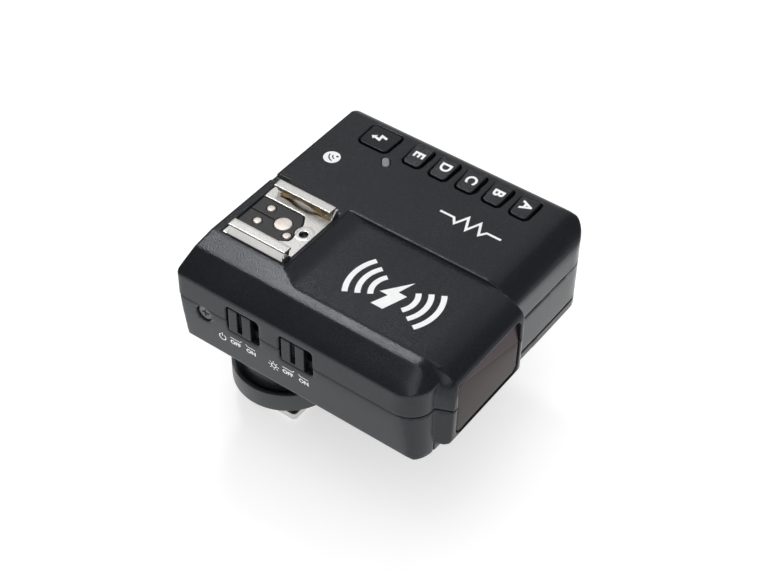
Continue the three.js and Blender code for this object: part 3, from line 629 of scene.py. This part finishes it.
def bottom_casing():
    clay = Clay((LEFT, -60.2, BOSS_BOTTOM), (RIGHT, REAR, PARTING), 0.24)
    across = [(LEFT, PARTING + 3), (LEFT, PARTING), (-23.2, 31.2), (-22.3, FLOOR), (44.0, FLOOR),
              (44.9, 31.2), (RIGHT, PARTING), (RIGHT, PARTING + 3)]
    clay.field = prism(2, PLAN, FLOOR, PARTING - JOINT)[2](clay.axes)
    clay.keep(prism(1, across, -64, 14), 0.4)
    pedestal = prism(1, [(-22.3, 30.6), (-22.3, 30.2), (-12.9, 17.6), (-11.9, 16.8), (12.2, 16.8),
                         (13.2, 17.4), (26.5, 30.2), (26.5, 30.6)], -22, 12)
    rake = prism(0, [(12, 30.6), (12, 16.8), (-12.0, 16.8), (-13.2, 17.6), (-21.5, 30.2), (-21.5, 30.6)],
                 -24, 28)
    clay.add((pedestal[0], pedestal[1], lambda g: both(pedestal[2](g), rake[2](g), 0.5)), 0.5)
    clay.add(rod(2, (0, 0), 12.2, BOSS_BOTTOM, 17.6, 0.3), 0.5)
    clay.keep(prism(0, [(REAR - 0.1, 50), (10.4, 20.0), (9.7, 16.6), (9.7, 9.0), (-58, 9.0), (-56.4, 31.0),
                        (FRONT, PARTING), (FRONT, 50)], -28, 49), 0.3)
    clay.add(nose_low(), 0.05)
    clay.cut(block(-16.2, 41.0, INNER_FRONT, -22.6, 29, PARTING + 1))
    clay.cut(block(INNER_LEFT, 43.4, -21.0, INNER_REAR, 31.8, PARTING + 1))
    clay.cut(block(INNER_LEFT, -17.9, -51.0, -20.0, 31.8, PARTING + 1))
    clay.cut(block(LENS_X0 + 0.6, LENS_X1 - 0.6, -57.9, -54, LENS_Z0 + 0.4, PARTING + 1))
    clay.cut(block(-17.6, 42.4, -58, -22.2, 28, 31.5), CORNER)
    clay.cut(block(-17.6, 42.4, -58, -54.8, 28, 32.65), CORNER)
    clay.cut(prism(1, [(-14.2, 33), (-9.4, 20.4), (9.4, 20.4), (18.0, 33)], -10.6, 8.2))
    clay.cut(rod(2, (0, 0), 9.5, 9, 13.5), CORNER)
    clay.cut(rod(2, (0, -0.6), 8.4, 12.0, 21.5))
    openings(clay)
    clay.cut(prism(0, rounded(rectangle(-13, 4.5, 33.4, 41.2), [0, 0, 1.2, 1.2]), 43.9, 49), CORNER)
    clay.cut(prism(0, rounded(rectangle(-10.8, -1.5, 35.6, 39.2), 1.5), 42, 46))
    clay.cut(rod(0, (1.4, 37.4), 2.1, 42, 46))
    clay.add(block(-22.9, -17.5, 2.4, 7.0, 39.6, 44.1))
    clay.cut(rod(0, SCREW, 2.2, -27, -22.6), 0.1)
    clay.cut(rod(0, SCREW, 1.1, -27, -18.5))
    show(clay.mesh("bottom_casing_moulding", 0.02), "casing", ["bottom_casing"], CASING)


# ---- accessory shoe
def shoe():
    floor, top, half = SHOE_FLOOR, SHOE_TOP, SHOE_HALF
    clay = Clay((-half, -8.5, floor - 0.7), (half, 9.85, top), 0.075)
    clay.add(block(-half, half, -8.45, 9.8, floor - 0.65, floor, 0.1))
    wall = [(half, floor - 0.3), (half, floor + 0.1), (half - 1.0, top - 0.72), (half - 1.3, top - 0.5),
            (half - 2.6, top - 0.6), (half - 1.6, floor - 0.3)]
    plate = [(half - 0.62, top - 0.55), (half - 0.62, top), (half - 3.05, top), (half - 3.05, top - 0.6)]
    tab = [(half, floor - 0.2), (half, top - 1.0), (half - 1.0, top - 0.9), (half - 2.4, floor + 0.5),
           (half - 2.6, floor - 0.2)]
    for side in (-1, 1):
        for points, radii, start, end, edge, blend in (
                (wall, [0, 0.15, 0.1, 0.1, 0.25, 0], -8.2, 8.35, 0.1, 0.05),
                (plate, [0.04, 0.08, 0.1, 0.1], -8.2, 8.35, 0.06, 0.03),
                (tab, [0, 0.3, 0.4, 0.3, 0], -8.45, -7.85, 0.12, 0.1)):
            outline = rounded([(side * x, z) for x, z in points], radii)
            clay.add(prism(1, outline, start, end, edge), blend)
    mouth = rounded([(-5.6, 12), (-5.6, -1.6), (-3.6, -4.8), (2.4, -4.0), (5.2, -2.4), (5.2, 12)],
                    [0, 1, 1, 1.2, 1.2, 0])
    clay.cut(prism(2, mouth, floor - 1, floor + 1), 0.1)
    clay.add(rod(2, (0.4, -5.9), 2.3, floor - 0.65, floor, 0.1), 0.1)
    clay.cut(rod(2, (0, -6.0), 1.05, floor - 1, floor + 1), 0.1)
    show(clay.mesh("shoe_rail_pressing"), "casing", ["shoe_rails"], STEEL)

    outline = rounded([(-5.4, 9.6), (-5.4, -1.5), (-3.5, -4.55), (2.3, -3.8), (5.0, -2.3), (5.0, 9.6)],
                      [0.2, 1, 1, 1.2, 1.2, 0.2])
    clay = Clay((-5.4, -4.6, floor - 1.5), (5.0, 9.6, floor), 0.09)
    clay.add(prism(2, outline, floor - 1.5, floor - 0.02, 0.12))
    radii = [2.2, 1.05, 1.05, 1.05]
    for (_, x, y), radius in zip(CONTACTS, radii):
        clay.cut(rod(2, (x, y), radius + 0.12, 53, 57), 0.08)
    clay.cut(block(-0.12, 0.12, 2.6, 12, floor - 0.3, floor + 2))
    clay.cut(rod(2, (0.4, -5.9), 2.42, 53, 57), 0.08)
    show(clay.mesh("shoe_insulator_block"), "casing", ["shoe_insulator"], SHOE_PLASTIC)
    for (name, x, y), radius in zip(CONTACTS, radii):
        name, z = "shoe_contact_" + name, floor + 0.1
        profile = [(0, 53.6), (radius, 53.6), (radius, z - 0.2), (radius - 0.05, z - 0.08),
                   (radius - 0.14, z - 0.02), (radius - 0.3, z), (0, z + 0.01)]
        show(lathe(name + "_turned", profile, (x, y, 0)), "casing", [name], CONTACT)

    bend = flowing([(-7.7, 0.05), (-4.9, 0.12), (-2.0, 1.05), (1.5, 1.15), (5.0, 0.3), (6.9, 0.25)], 8)
    strip = [(y, floor + z) for y, z in bend] + [(y, floor + z + 0.24) for y, z in bend[::-1]]
    clay = Clay((7.35, -7.7, floor), (9.25, 6.9, floor + 1.5), 0.06)
    clay.add(prism(0, strip, 7.35, 9.25, 0.05))
    clay.cut(rod(2, (8.3, -6.2), 0.5, floor - 1, floor + 1), 0.05)
    clay.cut(rod(2, (8.3, -1.6), 0.5, floor - 1, floor + 2), 0.05)
    show(clay.mesh("shoe_leaf_spring"), "casing", ["shoe_spring"], BRASS)


# ---- assist lamp
def assist_lamp():
    clay = Clay((LENS_X0, -59.6, LENS_Z0), (LENS_X1, -57.6, LENS_Z1), 0.12)
    clay.add(prism(1, lens_outline(0.25), -62, -57.7))
    face = [(-57.7, 33), (-57.7, 53)] + flowing(
        [(-58.9, 53), (-59.0, 51), (-59.2, 47.2), (-59.3, 42), (-59.2, 34), (-59.15, 33)])
    clay.keep(prism(0, face, -18, 14), 0.22)
    # an upper facet leans back, its crease running down from the switch-side top corner
    crease, end, back = np.array(LENS_CREASE[0]), np.array(LENS_CREASE[1]), np.array((10.5, -57.9, 51.0))
    lean = unit(np.cross(end - crease, back - crease))
    lean = lean * -np.sign(lean[1])
    x, y, z = clay.axes
    facet = ((x[:, None, None] - crease[0]) * lean[0] + (y[None, :, None] - crease[1]) * lean[1]
             + (z[None, None, :] - crease[2]) * lean[2])
    clay.field = both(clay.field, facet, 0.15).astype(np.float32)
    show(clay.mesh("assist_lens_moulding", 0.005), "casing", ["assist_lens"], LENS)


# ---- keys
def keycap(name, x0, x1, y, width, low, high):
    """A key whose top leans up towards the casing's edge."""
    clay = Clay((x0 - 1, y - width / 2 - 1, 51.0), (x1 + 1, y + width / 2 + 1, high + 0.1), 0.09)
    clay.add(prism(2, key_outline(x0, x1, y, width, 0), 51.0, high + 2))
    slope = (high - low) / (x1 - x0)
    crown = [(x0 - 2, 50), (x0 - 2, low - 2 * slope), (x1 + 2, high + 2 * slope), (x1 + 2, 50)]
    clay.keep(prism(1, crown, y - 9, y + 9), 0.16)
    flange = prism(2, key_outline(x0, x1, y, width, 0.9), 51.4, 52.4, 0.1)
    limit = block(x0 - 2, 42.3, y - 9, y + 9, 50, 54)
    clay.add((flange[0], flange[1], lambda g: both(flange[2](g), limit[2](g), 0)), 0.1)
    show(clay.mesh(name + "_cap"), name + "_body", [name], KEYCAP)


def keys():
    keycap("test_key", TEST_X0, TEST_X1, TEST_Y, TEST_WIDE, TEST_LOW, TEST_HIGH)
    for name, y, _ in KEYS:
        keycap(name, KEY_X0, KEY_X1, y, KEY_WIDE, KEY_LOW, KEY_HIGH)
    clay = Clay((29.8, -8.6, 49.7), (34.4, -3.9, TOP + 0.15), 0.09)
    clay.add(prism(2, lamp_outline(0), 52.75, TOP + 0.1, 0.15))
    clay.add(rod(2, (31.5, -6.45), 0.6, 49.7, 53.0))
    show(clay.mesh("status_lamp_pipe"), "casing", ["status_lamp"], PALE)


# ---- slide switches and screw
def switches():
    for name, y in SLOTS:
        start, end = y - 0.7, y - 7.1
        low, high = SLOT_Z0 + 0.35, SLOT_Z1 - 0.35
        clay = Clay((LEFT, end, low), (LEFT + 2.7, start, high), 0.09)
        clay.add(block(LEFT + 0.1, LEFT + 1.7, end, start, low, high, EDGE))
        clay.cut(block(LEFT - 2, LEFT + 1.1, end + 2.5, end + 3.9, low + 0.7, high + 2), 0.12)
        clay.add(block(LEFT + 1.6, LEFT + 2.7, end + 2.0, start - 2.0, 44.0, 46.2))
        name += "_knob"
        show(clay.mesh(name + "_cap"), name + "_body", [name], KEYCAP)
    clay = Clay((-23.5, 2.6, 39.8), (-18.7, 6.8, 44.0), 0.06)
    clay.add(rod(0, SCREW, 2.05, -23.4, -22.65, 0.25))
    clay.add(rod(0, SCREW, 0.95, -22.8, -18.8))
    clay.cut(block(-25, -22.95, 3.6, 5.8, 41.65, 42.15), 0.05)
    clay.cut(block(-25, -22.95, 4.45, 4.95, 40.8, 43.0), 0.05)
    show(clay.mesh("casing_screw_head"), "casing", ["casing_screw"], DARK_STEEL)


# ---- rear panel
def rear():
    buttons = [("function_button_%d" % (i + 1), 37.0 - 8.4 * i, 34.25, 6.0, 2.7) for i in range(4)]
    buttons += [("menu_button", 6.4, 25.6, 7.0, 3.4), ("mode_button", -6.0, 25.6, 7.0, 3.4)]

    def outline(x, z, wide, high, grow):
        u, v = wide / 2 + grow, high / 2 + grow
        return rounded(rectangle(x - u, x + u, z - v, z + v), 0.9 + grow)

    clay = Clay((-20.5, 8.9, 21.0), (42.5, FACE, 52.2), 0.17)
    clay.add(prism(1, panel_outline(GAP), 8.9, FACE, 0.25))
    opening = rectangle(WINDOW_X0 - GAP, WINDOW_X1 + GAP, WINDOW_Z0 - GAP, WINDOW_Z1 + GAP)
    clay.cut(prism(1, rounded(opening, 1.2), 9.5, 13), 0.12)
    clay.cut(block(10.4, 38.6, 7, 13, 38.4, 49.4))
    clay.cut(rod(1, (DIAL_X, DIAL_Z), DIAL_OUTER + GAP, 9.5, 13), CORNER)
    clay.cut(rod(1, (DIAL_X, DIAL_Z), DIAL_INNER + 1.6, 7, 13))
    for _, *size in buttons:
        clay.cut(prism(1, outline(*size, GAP), 7, 13), 0.15)
    show(clay.mesh("rear_panel_moulding", 0.02), "casing", ["rear_panel"], CASING)
    for name, x, z, wide, high in buttons:
        u, v = wide / 2 + 1, high / 2 + 1
        clay = Clay((x - u, 7.5, z - v), (x + u, FACE + 0.6, z + v), 0.1)
        clay.add(prism(1, outline(x, z, wide, high, 0), 7.5, FACE + 0.5, 0.35))
        clay.add(prism(1, outline(x, z, wide, high, 0.8), 7.5, 8.4, 0.1))
        show(clay.mesh(name + "_cap"), name + "_body", [name], KEYCAP)
    glass = rounded(rectangle(WINDOW_X0, WINDOW_X1, WINDOW_Z0, WINDOW_Z1), 1.0)
    clay = Clay((WINDOW_X0, 9.6, WINDOW_Z0), (WINDOW_X1, FACE + 0.05, WINDOW_Z1), 0.12)
    clay.add(prism(1, glass, 9.6, FACE + 0.05, 0.2))
    show(clay.mesh("display_cover_glass"), "casing", ["display_window"], GLASS)

    # the dial: a knurled rim with a dished face, and the set button inside it
    place = DIAL_X, DIAL_BACK, DIAL_Z
    ribbed = True
    rim = [(DIAL_INNER, 0), (DIAL_OUTER - 0.25, 0), (DIAL_OUTER - 0.05, 0.2, ribbed),
           (DIAL_OUTER - 0.05, 1.8, ribbed), (DIAL_OUTER - 0.3, 2.3, ribbed), (DIAL_OUTER - 0.8, 2.6),
           (DIAL_INNER + 2.6, 2.15), (DIAL_INNER + 0.9, 2.35), (DIAL_INNER + 0.45, 2.5),
           (DIAL_INNER + 0.1, 2.35), (DIAL_INNER, 2.0)]
    show(lathe("dial_ring", rim, place, 1, 192), "dial_body", ["dial"], KEYCAP)
    stem = [(DIAL_INNER, -1.6), (DIAL_INNER + 1.2, -1.6), (DIAL_INNER + 1.2, 0.05), (DIAL_INNER, 0.05)]
    show(lathe("dial_stem", stem, place, 1), "dial_body", [], KEYCAP)
    cap = DIAL_INNER - 0.35
    dish = [(0, -1.3), (cap, -1.3), (cap, 1.75), (cap - 0.1, 2.05), (cap - 0.35, 2.27), (cap - 0.7, 2.3),
            (cap * 0.5, 2.02), (0, 1.9)]
    show(lathe("set_button_cap", dish, place, 1), "set_button_body", ["set_button"], KEYCAP)


# ---- underside and key side
def underside():
    clay = Clay((-17.4, -56.6, FLOOR), (42.2, -22.4, 32.5), 0.2)
    clay.add(block(-17.3, 42.1, -56.2, -22.5, FLOOR, 31.3, 0.2))
    clay.add(block(-17.3, 42.1, -56.5, -55.0, FLOOR, 32.4, 0.2))
    clay.keep(prism(2, PLAN, 28, 34), 0.2)
    for i in range(7):
        grip = rounded(rectangle(4.0, 21.0, -27.4 - 1.5 * i, -26.7 - 1.5 * i), 0.3, 6)
        clay.cut(prism(2, grip, 28, FLOOR + 0.35), 0.1)
    show(clay.mesh("battery_door_moulding", 0.02), "battery_door_body", ["battery_door"],
         CASING)

    clay = Clay((43.9, -13, 33.4), (45.2, 4.5, 41.2), 0.1)
    clay.add(prism(0, rounded(rectangle(-12.7, 4.2, 33.55, 40.9), [0.3, 0.3, 1.0, 1.0]), 44.05, 45.1, 0.25))
    clay.cut(prism(0, rounded(rectangle(-6.6, -1.9, 39.9, 43), 0.4), 44.6, 48), 0.1)
    show(clay.mesh("port_cover_flap"), "port_cover_body", ["port_cover"], RUBBER)


def foot():
    pins = [("foot_pin_" + name, x, y, 0.75 if x else 1.1, -0.5) for name, x, y in CONTACTS]
    pins.append(("lock_pin", 0, -6.3, 0.85, 0.1))
    wide, long = 9.25, 9.0
    clay = Clay((-wide, -long, 0), (wide, long, 2.0), 0.1)
    clay.add(prism(2, rounded(rectangle(-wide, wide, -long, long), [1.2, 1.2, 0.6, 0.6]), 0, 2.0, 0.2))
    clay.cut(block(-wide + 0.9, wide - 0.9, -long + 0.9, long - 0.9, 1.0, 4), 0.12)
    for _, x, y, radius, _ in pins:
        clay.cut(rod(2, (x, y), radius + 0.2, -2, 4), 0.1)
    show(clay.mesh("foot_plate_pressing"), "casing", ["foot_plate"], STEEL)

    clay = Clay((-9.4, -9.4, 1.0), (9.4, 9.4, 12.9), 0.14)
    clay.add(block(-wide + 1.0, wide - 1.0, -long + 1.0, long - 1.0, 1.02, 1.9, 0.1))
    clay.add(block(-6.15, 6.15, -7.7, 7.7, 1.5, 5.2, 0.2), 0.2)
    clay.add(rod(2, (0, 0), 9.3, 4.85, 12.9, 0.25), 0.1)
    for _, x, y, radius, _ in pins:
        clay.cut(rod(2, (x, y), radius + 0.15, -2, 15), 0.08)
    show(clay.mesh("foot_block_moulding"), "casing", ["foot_block"], FOOT_PLASTIC)

    for name, x, y, radius, tip in pins:
        dome = 0, 0.35, 0.7, 1.05, 1.35, math.pi / 2
        profile = [(radius * math.sin(a), tip + radius * 0.6 * (1 - math.cos(a))) for a in dome]
        profile += [(radius, 9.35), (radius - 0.12, 9.5), (0, 9.5)]
        slot, finish = ("plated_steel", STEEL) if name == "lock_pin" else ("brass", BRASS)
        show(lathe(name + "_turned", profile, (x, y, 0), 2, 40), name + "_body", [name], finish)

    inner, outer, low, high, rim, groove = 9.6, 14.25, 5.2, 10.05, 10.95, 13.1
    quarter = [math.pi / 2 * turn / 6 for turn in range(7)]
    profile = [(inner, low + 0.15), (inner + 0.15, low)]
    profile += [(outer - 0.5 + 0.5 * math.sin(a), low + 0.5 - 0.5 * math.cos(a)) for a in quarter]
    profile += [(outer - 0.25 + 0.25 * math.cos(a), rim - 0.25 + 0.25 * math.sin(a)) for a in quarter]
    profile += [(groove + 0.15, rim), (groove, rim - 0.15), (groove, high), (inner + 0.3, high),
                (inner, high - 0.15)]
    show(lathe("lock_ring_turned", profile, (0, 0, 0), 2, 160), "lock_ring_body", ["lock_ring"],
         FOOT_PLASTIC)


top_casing()
bottom_casing()
shoe()
assist_lamp()
keys()
switches()
rear()
underside()
foot()


# ---- printed marks
def printed(curve, name, origin, across, up, body):
    """Sets a flat curve as a thin film of ink on a surface."""
    curve.extrude = 0.02 * MM
    holder = bpy.data.objects.new(name + "_curve", curve)
    mesh = bpy.data.meshes.new_from_object(holder)
    mesh.name = name
    bpy.data.objects.remove(holder)
    bpy.data.curves.remove(curve)
    across, up = Vector(across).normalized(), Vector(up).normalized()
    place = Matrix((across, up, across.cross(up))).transposed().to_4x4()
    place.translation = Vector(origin) * MM
    mesh.transform(place)
    outward(mesh)
    show(mesh, body, finish=INK, smooth=False)


def words(text, size, weight):
    curve = bpy.data.curves.new("words", "FONT")
    curve.body, curve.size, curve.offset = text, size * MM, weight * MM
    curve.align_x, curve.align_y, curve.resolution_u = "CENTER", "CENTER", 6
    return curve


def shapes(outlines):
    """A filled flat curve from closed outlines; one inside another is a hole."""
    curve = bpy.data.curves.new("shapes", "CURVE")
    curve.dimensions, curve.fill_mode = "2D", "BOTH"
    for outline in outlines:
        spline = curve.splines.new("POLY")
        spline.points.add(len(outline) - 1)
        for point, (x, y) in zip(spline.points, outline):
            point.co = (x * MM, y * MM, 0, 1)
        spline.use_cyclic_u = True
    return curve


def swept(radius, angles, x=0.0, y=0.0):
    return [(x + radius * math.cos(a), y + radius * math.sin(a)) for a in angles]


def circle(radius, x=0.0, y=0.0, steps=40):
    return swept(radius, [2 * math.pi * k / steps for k in range(steps)], x, y)


def arc(radius, thick, middle, spread, x=0.0, y=0.0, steps=20):
    """A band of a circle about a middle angle."""
    angles = [math.radians(middle - spread / 2 + spread * k / steps) for k in range(steps + 1)]
    return swept(radius + thick / 2, angles, x, y) + swept(radius - thick / 2, angles, x, y)[::-1]


def stroke(points, thick):
    """The outline of a mitred line."""
    p = [Vector((x, y)) for x, y in points]
    left, right = [], []
    for i, point in enumerate(p):
        a = (p[i] - p[i - 1]).normalized() if i else (p[1] - p[0]).normalized()
        b = (p[i + 1] - p[i]).normalized() if i < len(p) - 1 else a
        side = Vector((-(a + b).y, (a + b).x)).normalized()
        reach = thick / 2 / max(0.4, side.dot(Vector((-a.y, a.x))))
        left.append(tuple(point + side * reach))
        right.append(tuple(point - side * reach))
    return left + right[::-1]


def marks():
    lean, up = (KEY_HIGH - KEY_LOW) / (KEY_X1 - KEY_X0), (0, -1, 0)
    for name, y, letter in KEYS:
        place = (38.5, y, KEY_LOW + lean * (38.5 - KEY_X0))
        printed(words(letter, 3.9, 0.13), name + "_letter", place, (-1, 0, -lean), up, name + "_body")
    bolt = [(-0.05, 1.95), (-0.8, 1.95), (-1.2, -0.08), (0.28, 0.02), (0.06, -0.95), (-0.5, -0.8), (0.42, -2.1),
            (1.3, -1.2), (0.78, -1.1), (1.22, 0.78), (-0.3, 0.68)]
    lean = (TEST_HIGH - TEST_LOW) / (TEST_X1 - TEST_X0)
    place = (38.4, 0.45, TEST_LOW + lean * (38.4 - TEST_X0))
    printed(shapes([bolt]), "test_key_bolt", place, (-1, 0, -lean), up, "test_key_body")
    across, up = (0, 1, 0), (-1, 0, 0)

    # round wireless mark on the deck: a white disc with a dot and two waves left clear
    wave = [circle(2.15), circle(0.34, -0.95, -0.95, 16), arc(1.15, 0.34, 45, 80, -0.95, -0.95),
            arc(2.05, 0.34, 45, 80, -0.95, -0.95)]
    printed(shapes(wave), "wireless_mark", (25.7, 5.45, TOP), across, up, "casing")

    # generic flash-by-radio sign on the front panel
    sign = [[(x * 4.2, y * 4.2) for x, y in ((-0.15, 1.3), (0.62, 1.3), (0.22, 0.3), (0.75, 0.3), (-0.45, -1.3),
                                            (-0.12, -0.2), (-0.68, -0.2))]]
    for side in (0, 180):
        sign += [arc(5.4, 1.35, side, 74), arc(8.3, 1.35, side, 70), arc(11.2, 1.35, side, 66)]
    printed(shapes(sign), "radio_flash_sign", (-2.2, -33.5, PANEL), across, up, "casing")

    # a plain pulse line on the deck
    pulse = stroke([(-8.5, 0), (-4.6, 0), (-3.4, 1.7), (-1.7, -1.9), (0.0, 2.0), (1.7, -1.9), (3.4, 1.7),
                    (4.6, 0), (8.5, 0)], 0.62)
    printed(shapes([pulse]), "pulse_line", (25.7, -35.0, TOP), across, up, "casing")

    # switch legends on the drafted wall
    across, up = (0, -1, 0), (-DRAFT, 0, 0.9971)

    def wall(y, z):
        return (LEFT + (PARTING - z) * DRAFT, y, z)

    for name, start in (("power", 0.0), ("assist", -15.3)):
        for word, back in (("off", 4.3), ("on", 8.9)):
            printed(words(word.upper(), 1.75, 0.05), name + "_" + word, wall(start - back, 37.35),
                    across, up, "casing")
        lines = [stroke([(-1.6, 0.25), (1.2, 0.25), (1.75, 0.8)], 0.2),
                 stroke([(3.0, 0.8), (3.5, 0.25), (5.7, 0.25)], 0.2)]
        printed(shapes(lines), name + "_lines", wall(start - 4.5, 38.55), across, up, "casing")
    power = [arc(0.95, 0.26, 270, 290), rectangle(-0.13, 0.13, 0.35, 1.45)]
    printed(shapes(power), "power_symbol", wall(-0.4, 37.3), across, up, "casing")
    lamp = [circle(0.82), circle(0.56)]
    lamp += [stroke(ray, 0.22) for ray in zip(circle(1.05, steps=8), circle(1.55, steps=8))]
    printed(shapes(lamp), "assist_symbol", wall(-15.5, 37.3), across, up, "casing")

    # rear signs, seen from behind
    across, up = (-1, 0, 0), (0, 0, 1)
    menu = [rectangle(-0.95, 0.95, z - 0.12, z + 0.12) for z in (-0.55, 0.0, 0.55)]
    printed(shapes(menu), "menu_symbol", (6.4, FACE + 0.5, 25.6), across, up, "menu_button_body")
    rings = [circle(0.85), circle(0.6), circle(0.25)]
    printed(shapes(rings), "mode_symbol", (-6.0, FACE + 0.5, 25.6), across, up, "mode_button_body")


marks()

# ---- camera, floor and light
camera = bpy.data.objects.new("camera", bpy.data.cameras.new("camera"))
bpy.context.scene.collection.objects.link(camera)
camera.data.lens, camera.data.sensor_width = 80.17, 36.0
camera.data.clip_start, camera.data.clip_end = 0.01, 20.0
right = Vector((0.59195793, -0.8059006, 0.01048984))
upward = Vector((0.56279689, 0.42263752, 0.7103782))
forward = Vector((0.57692762, 0.41461036, -0.70374198))
camera.matrix_world = Matrix((right, upward, -forward)).transposed().to_4x4()
camera.location = (-0.22109354, -0.18679456, 0.32138267)
bpy.context.scene.camera = camera


def stage_floor():
    mesh = bpy.data.meshes.new("floor")
    reach, level = 3.0, -0.0006
    corners = rectangle(-reach, reach, -reach, reach)
    mesh.from_pydata([(x, y, level) for x, y in corners], [], [(0, 1, 2, 3)])
    floor = bpy.data.objects.new("floor", mesh)
    bpy.context.scene.collection.objects.link(floor)
    material = bpy.data.materials.new("floor_paper")
    material.use_nodes = True
    sockets = material.node_tree.nodes["Principled BSDF"].inputs
    sockets["Base Color"].default_value = (0.6, 0.6, 0.6, 1)
    sockets["Roughness"].default_value = 0.9
    sockets["Specular IOR Level"].default_value = 0.1
    sockets["Emission Color"].default_value = (1, 1, 1, 1)
    sockets["Emission Strength"].default_value = 0.54
    mesh.materials.append(material)


def softbox(name, direction, distance, width, height, power, glossy=True):
    """A soft panel light at a distance from the object, facing it."""
    light = bpy.data.lights.new(name, "AREA")
    light.shape, light.size, light.size_y, light.energy = "RECTANGLE", width, height, power
    lamp = bpy.data.objects.new(name, light)
    bpy.context.scene.collection.objects.link(lamp)
    lamp.location = CENTRE + Vector(direction).normalized() * distance
    lamp.rotation_euler = (CENTRE - lamp.location).to_track_quat("-Z", "Y").to_euler()
    lamp.visible_glossy = glossy
    return lamp


stage_floor()
CENTRE = Vector((0.01, -0.022, 0.045))
# name, direction, distance, width, height, power, seen in reflections
softbox("deck_softbox", (0.31, 0.42, 0.853), 2.0, 0.34, 0.48, 8.2)
softbox("back_softbox", (0.70, 0.30, 0.64), 1.2, 0.9, 0.8, 1.4)
softbox("rear_left_softbox", (-0.85, 0.55, 0.36), 1.2, 0.5, 0.3, 0.8)
softbox("overhead_fill", (-0.10, -0.25, 0.96), 1.4, 2.2, 2.2, 18, False)
softbox("front_fill", (-0.55, -0.80, 0.30), 1.3, 0.9, 0.6, 2, False)

# a long strip that the turning shoulder of the lamp housing mirrors all the way down
near_end, far_end = Vector((0.12, 0.18, 0.95)), Vector((-0.80, -0.34, 0.48))
middle, span = (near_end + far_end) / 2, far_end - near_end
strip = softbox("shoulder_strip", middle, middle.length, 0.28, span.length, 1.9)
facing, along = middle.normalized(), span.normalized()
along = (along - facing * along.dot(facing)).normalized()
strip.rotation_euler = Matrix((along.cross(facing), along, facing)).transposed().to_euler()

world = bpy.data.worlds.new("studio")
bpy.context.scene.world = world
world.use_nodes = True
tree = world.node_tree
background = tree.nodes["Background"]
background.inputs[1].default_value = 1.0
direction = tree.nodes.new("ShaderNodeTexCoord").outputs["Generated"]
split = tree.nodes.new("ShaderNodeSeparateXYZ")
tree.links.new(direction, split.inputs[0])
ramp = tree.nodes.new("ShaderNodeValToRGB")
tree.links.new(split.outputs["Z"], ramp.inputs[0])
for stop, place, colour in zip(ramp.color_ramp.elements, (0.05, 0.42), ((1, 1, 1, 1), (0.03, 0.03, 0.032, 1))):
    stop.position, stop.color = place, colour
tree.links.new(ramp.outputs[0], background.inputs[0])
bpy.context.scene.view_settings.view_transform = "Standard"
